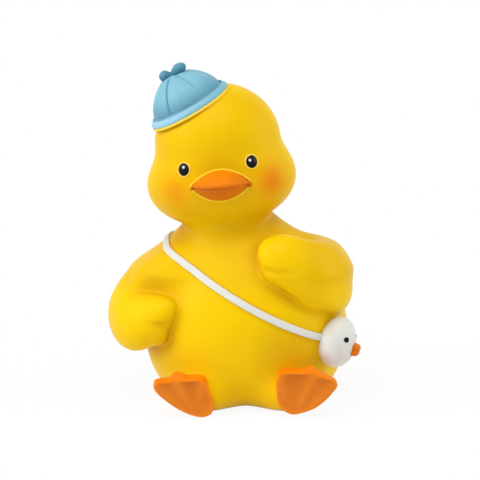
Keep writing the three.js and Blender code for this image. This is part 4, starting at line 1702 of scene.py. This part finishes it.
class DUCKLING_OT_stage(bpy.types.Operator):
    """Set the floor, the surroundings, the light and the camera."""

    bl_idname = "duckling.stage"
    bl_label = "Stage"

    def execute(self, context):
        stage = measured(context).stage
        scene = context.scene
        scene.view_settings.view_transform = "Standard"
        self.floor(stage)
        self.surroundings(scene, stage)
        for name, place in LAMPS.items():
            self.lamp(name + "_light", place, getattr(stage, name + "_power"))
        self.camera(scene, stage)
        return {"FINISHED"}

    def seen(self, p):
        """1 for what the camera sees directly, in a gloss or through glass."""
        camera, glossy, clear = (
            p.node("ShaderNodeLightPath", output="Is " + kind + " Ray")
            for kind in ("Camera", "Glossy", "Transmission"))
        return (camera + glossy + clear).clamped()

    def floor(self, stage):
        """A wide white floor that glows to the camera and keeps a share of the figure's shadow."""
        mesh = bpy.data.meshes.new("floor")
        sides = ((-1, -1), (1, -1), (1, 1), (-1, 1))
        corners = [(x * FLOOR_HALF, y * FLOOR_HALF, 0) for x, y in sides]
        mesh.from_pydata(corners, [], [(0, 1, 2, 3)])
        p = Paint("floor_white")
        matt = p.node("ShaderNodeBsdfDiffuse", {}, {"Color": FLOOR_PAINT})
        glow = p.node("ShaderNodeEmission", {}, {"Color": WHITE, "Strength": 1.0})
        place = p.node("ShaderNodeTexCoord", output="Object")
        away = p.node("ShaderNodeVectorMath", {"operation": "LENGTH"}, {0: place}, output="Value")
        share = p.node("ShaderNodeMapRange", {"interpolation_type": "SMOOTHSTEP"}, {
            "Value": away, "From Min": stage.glow_near * MM, "From Max": stage.glow_far * MM,
            "To Min": stage.floor_glow, "To Max": 1.0})
        both = p.node("ShaderNodeMixShader", {}, {0: self.seen(p) * share, 1: matt, 2: glow})
        p.node("ShaderNodeOutputMaterial", {}, {"Surface": both})
        mesh.materials.append(p.material)
        floor = add_object("floor", mesh)

    def surroundings(self, scene, stage):
        """White all round: full white to the camera, and a plain level as light."""
        world = bpy.data.worlds.new("surroundings")
        world.use_nodes = True
        p = Paint("surroundings", world.node_tree)
        light = p.node("ShaderNodeBackground", {}, {"Color": WHITE, "Strength": stage.ambient})
        white = p.node("ShaderNodeBackground", {}, {"Color": WHITE, "Strength": 1.0})
        both = p.node("ShaderNodeMixShader", {}, {0: self.seen(p), 1: light, 2: white})
        p.node("ShaderNodeOutputWorld", {}, {"Surface": both})
        scene.world = world

    def lamp(self, name, place, power):
        """A square soft light aimed at the figure."""
        light = bpy.data.lights.new(name, "AREA")
        light.size = LAMP_WIDTH
        light.energy = power
        lamp = add_object(name, light)
        lamp.location = place
        toward = Vector(LAMP_AIM) - Vector(place)
        lamp.rotation_euler = toward.to_track_quat("-Z", "Y").to_euler()

    def camera(self, scene, stage):
        """The camera at the photograph's viewing angle."""
        data = bpy.data.cameras.new("camera")
        data.sensor_width = SENSOR_WIDTH
        data.lens = stage.lens
        camera = add_object("camera", data)
        aim = Vector((stage.aim_side, stage.aim_back, stage.aim_height)) * MM
        back = Vector((0, -math.cos(stage.elevation), math.sin(stage.elevation)))
        camera.location = aim + back * (stage.distance * MM)
        camera.rotation_euler = (-back).to_track_quat("-Z", "Y").to_euler()
        scene.camera = camera


OPERATORS = (
    DUCKLING_OT_stage,
    DUCKLING_OT_body,
    DUCKLING_OT_eyes,
    DUCKLING_OT_bill,
    DUCKLING_OT_hat,
    DUCKLING_OT_strap,
    DUCKLING_OT_bag,
    DUCKLING_OT_feet,
)


class DUCKLING_PT_sidebar(bpy.types.Panel):
    """Sizes, colours and pieces of the duckling."""

    bl_idname = "DUCKLING_PT_sidebar"
    bl_label = "Duckling"
    bl_space_type = "VIEW_3D"
    bl_region_type = "UI"
    bl_category = "Duckling"

    def draw(self, context):
        for operator in OPERATORS:
            self.layout.operator(operator.bl_idname)
        for key in GROUPS:
            group = getattr(context.scene, "duckling_" + key)
            box = self.layout.box()
            box.label(text=key.title())
            for prop in fields(group):
                box.prop(group, prop.identifier)


def register():
    for cls in (*GROUPS.values(), *OPERATORS, DUCKLING_PT_sidebar):
        bpy.utils.register_class(cls)
    for key, group in GROUPS.items():
        setattr(bpy.types.Scene, "duckling_" + key, bpy.props.PointerProperty(type=group))


def unregister():
    for key in GROUPS:
        delattr(bpy.types.Scene, "duckling_" + key)
    for cls in (DUCKLING_PT_sidebar, *reversed(OPERATORS), *reversed(GROUPS.values())):
        bpy.utils.unregister_class(cls)


def main():
    register()
    bpy.ops.duckling.stage()
    bpy.ops.duckling.body()
    bpy.ops.duckling.eyes()
    bpy.ops.duckling.bill()
    bpy.ops.duckling.hat()
    bpy.ops.duckling.strap()
    bpy.ops.duckling.bag()
    bpy.ops.duckling.feet()
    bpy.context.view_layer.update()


if __name__ == "__main__":
    main()
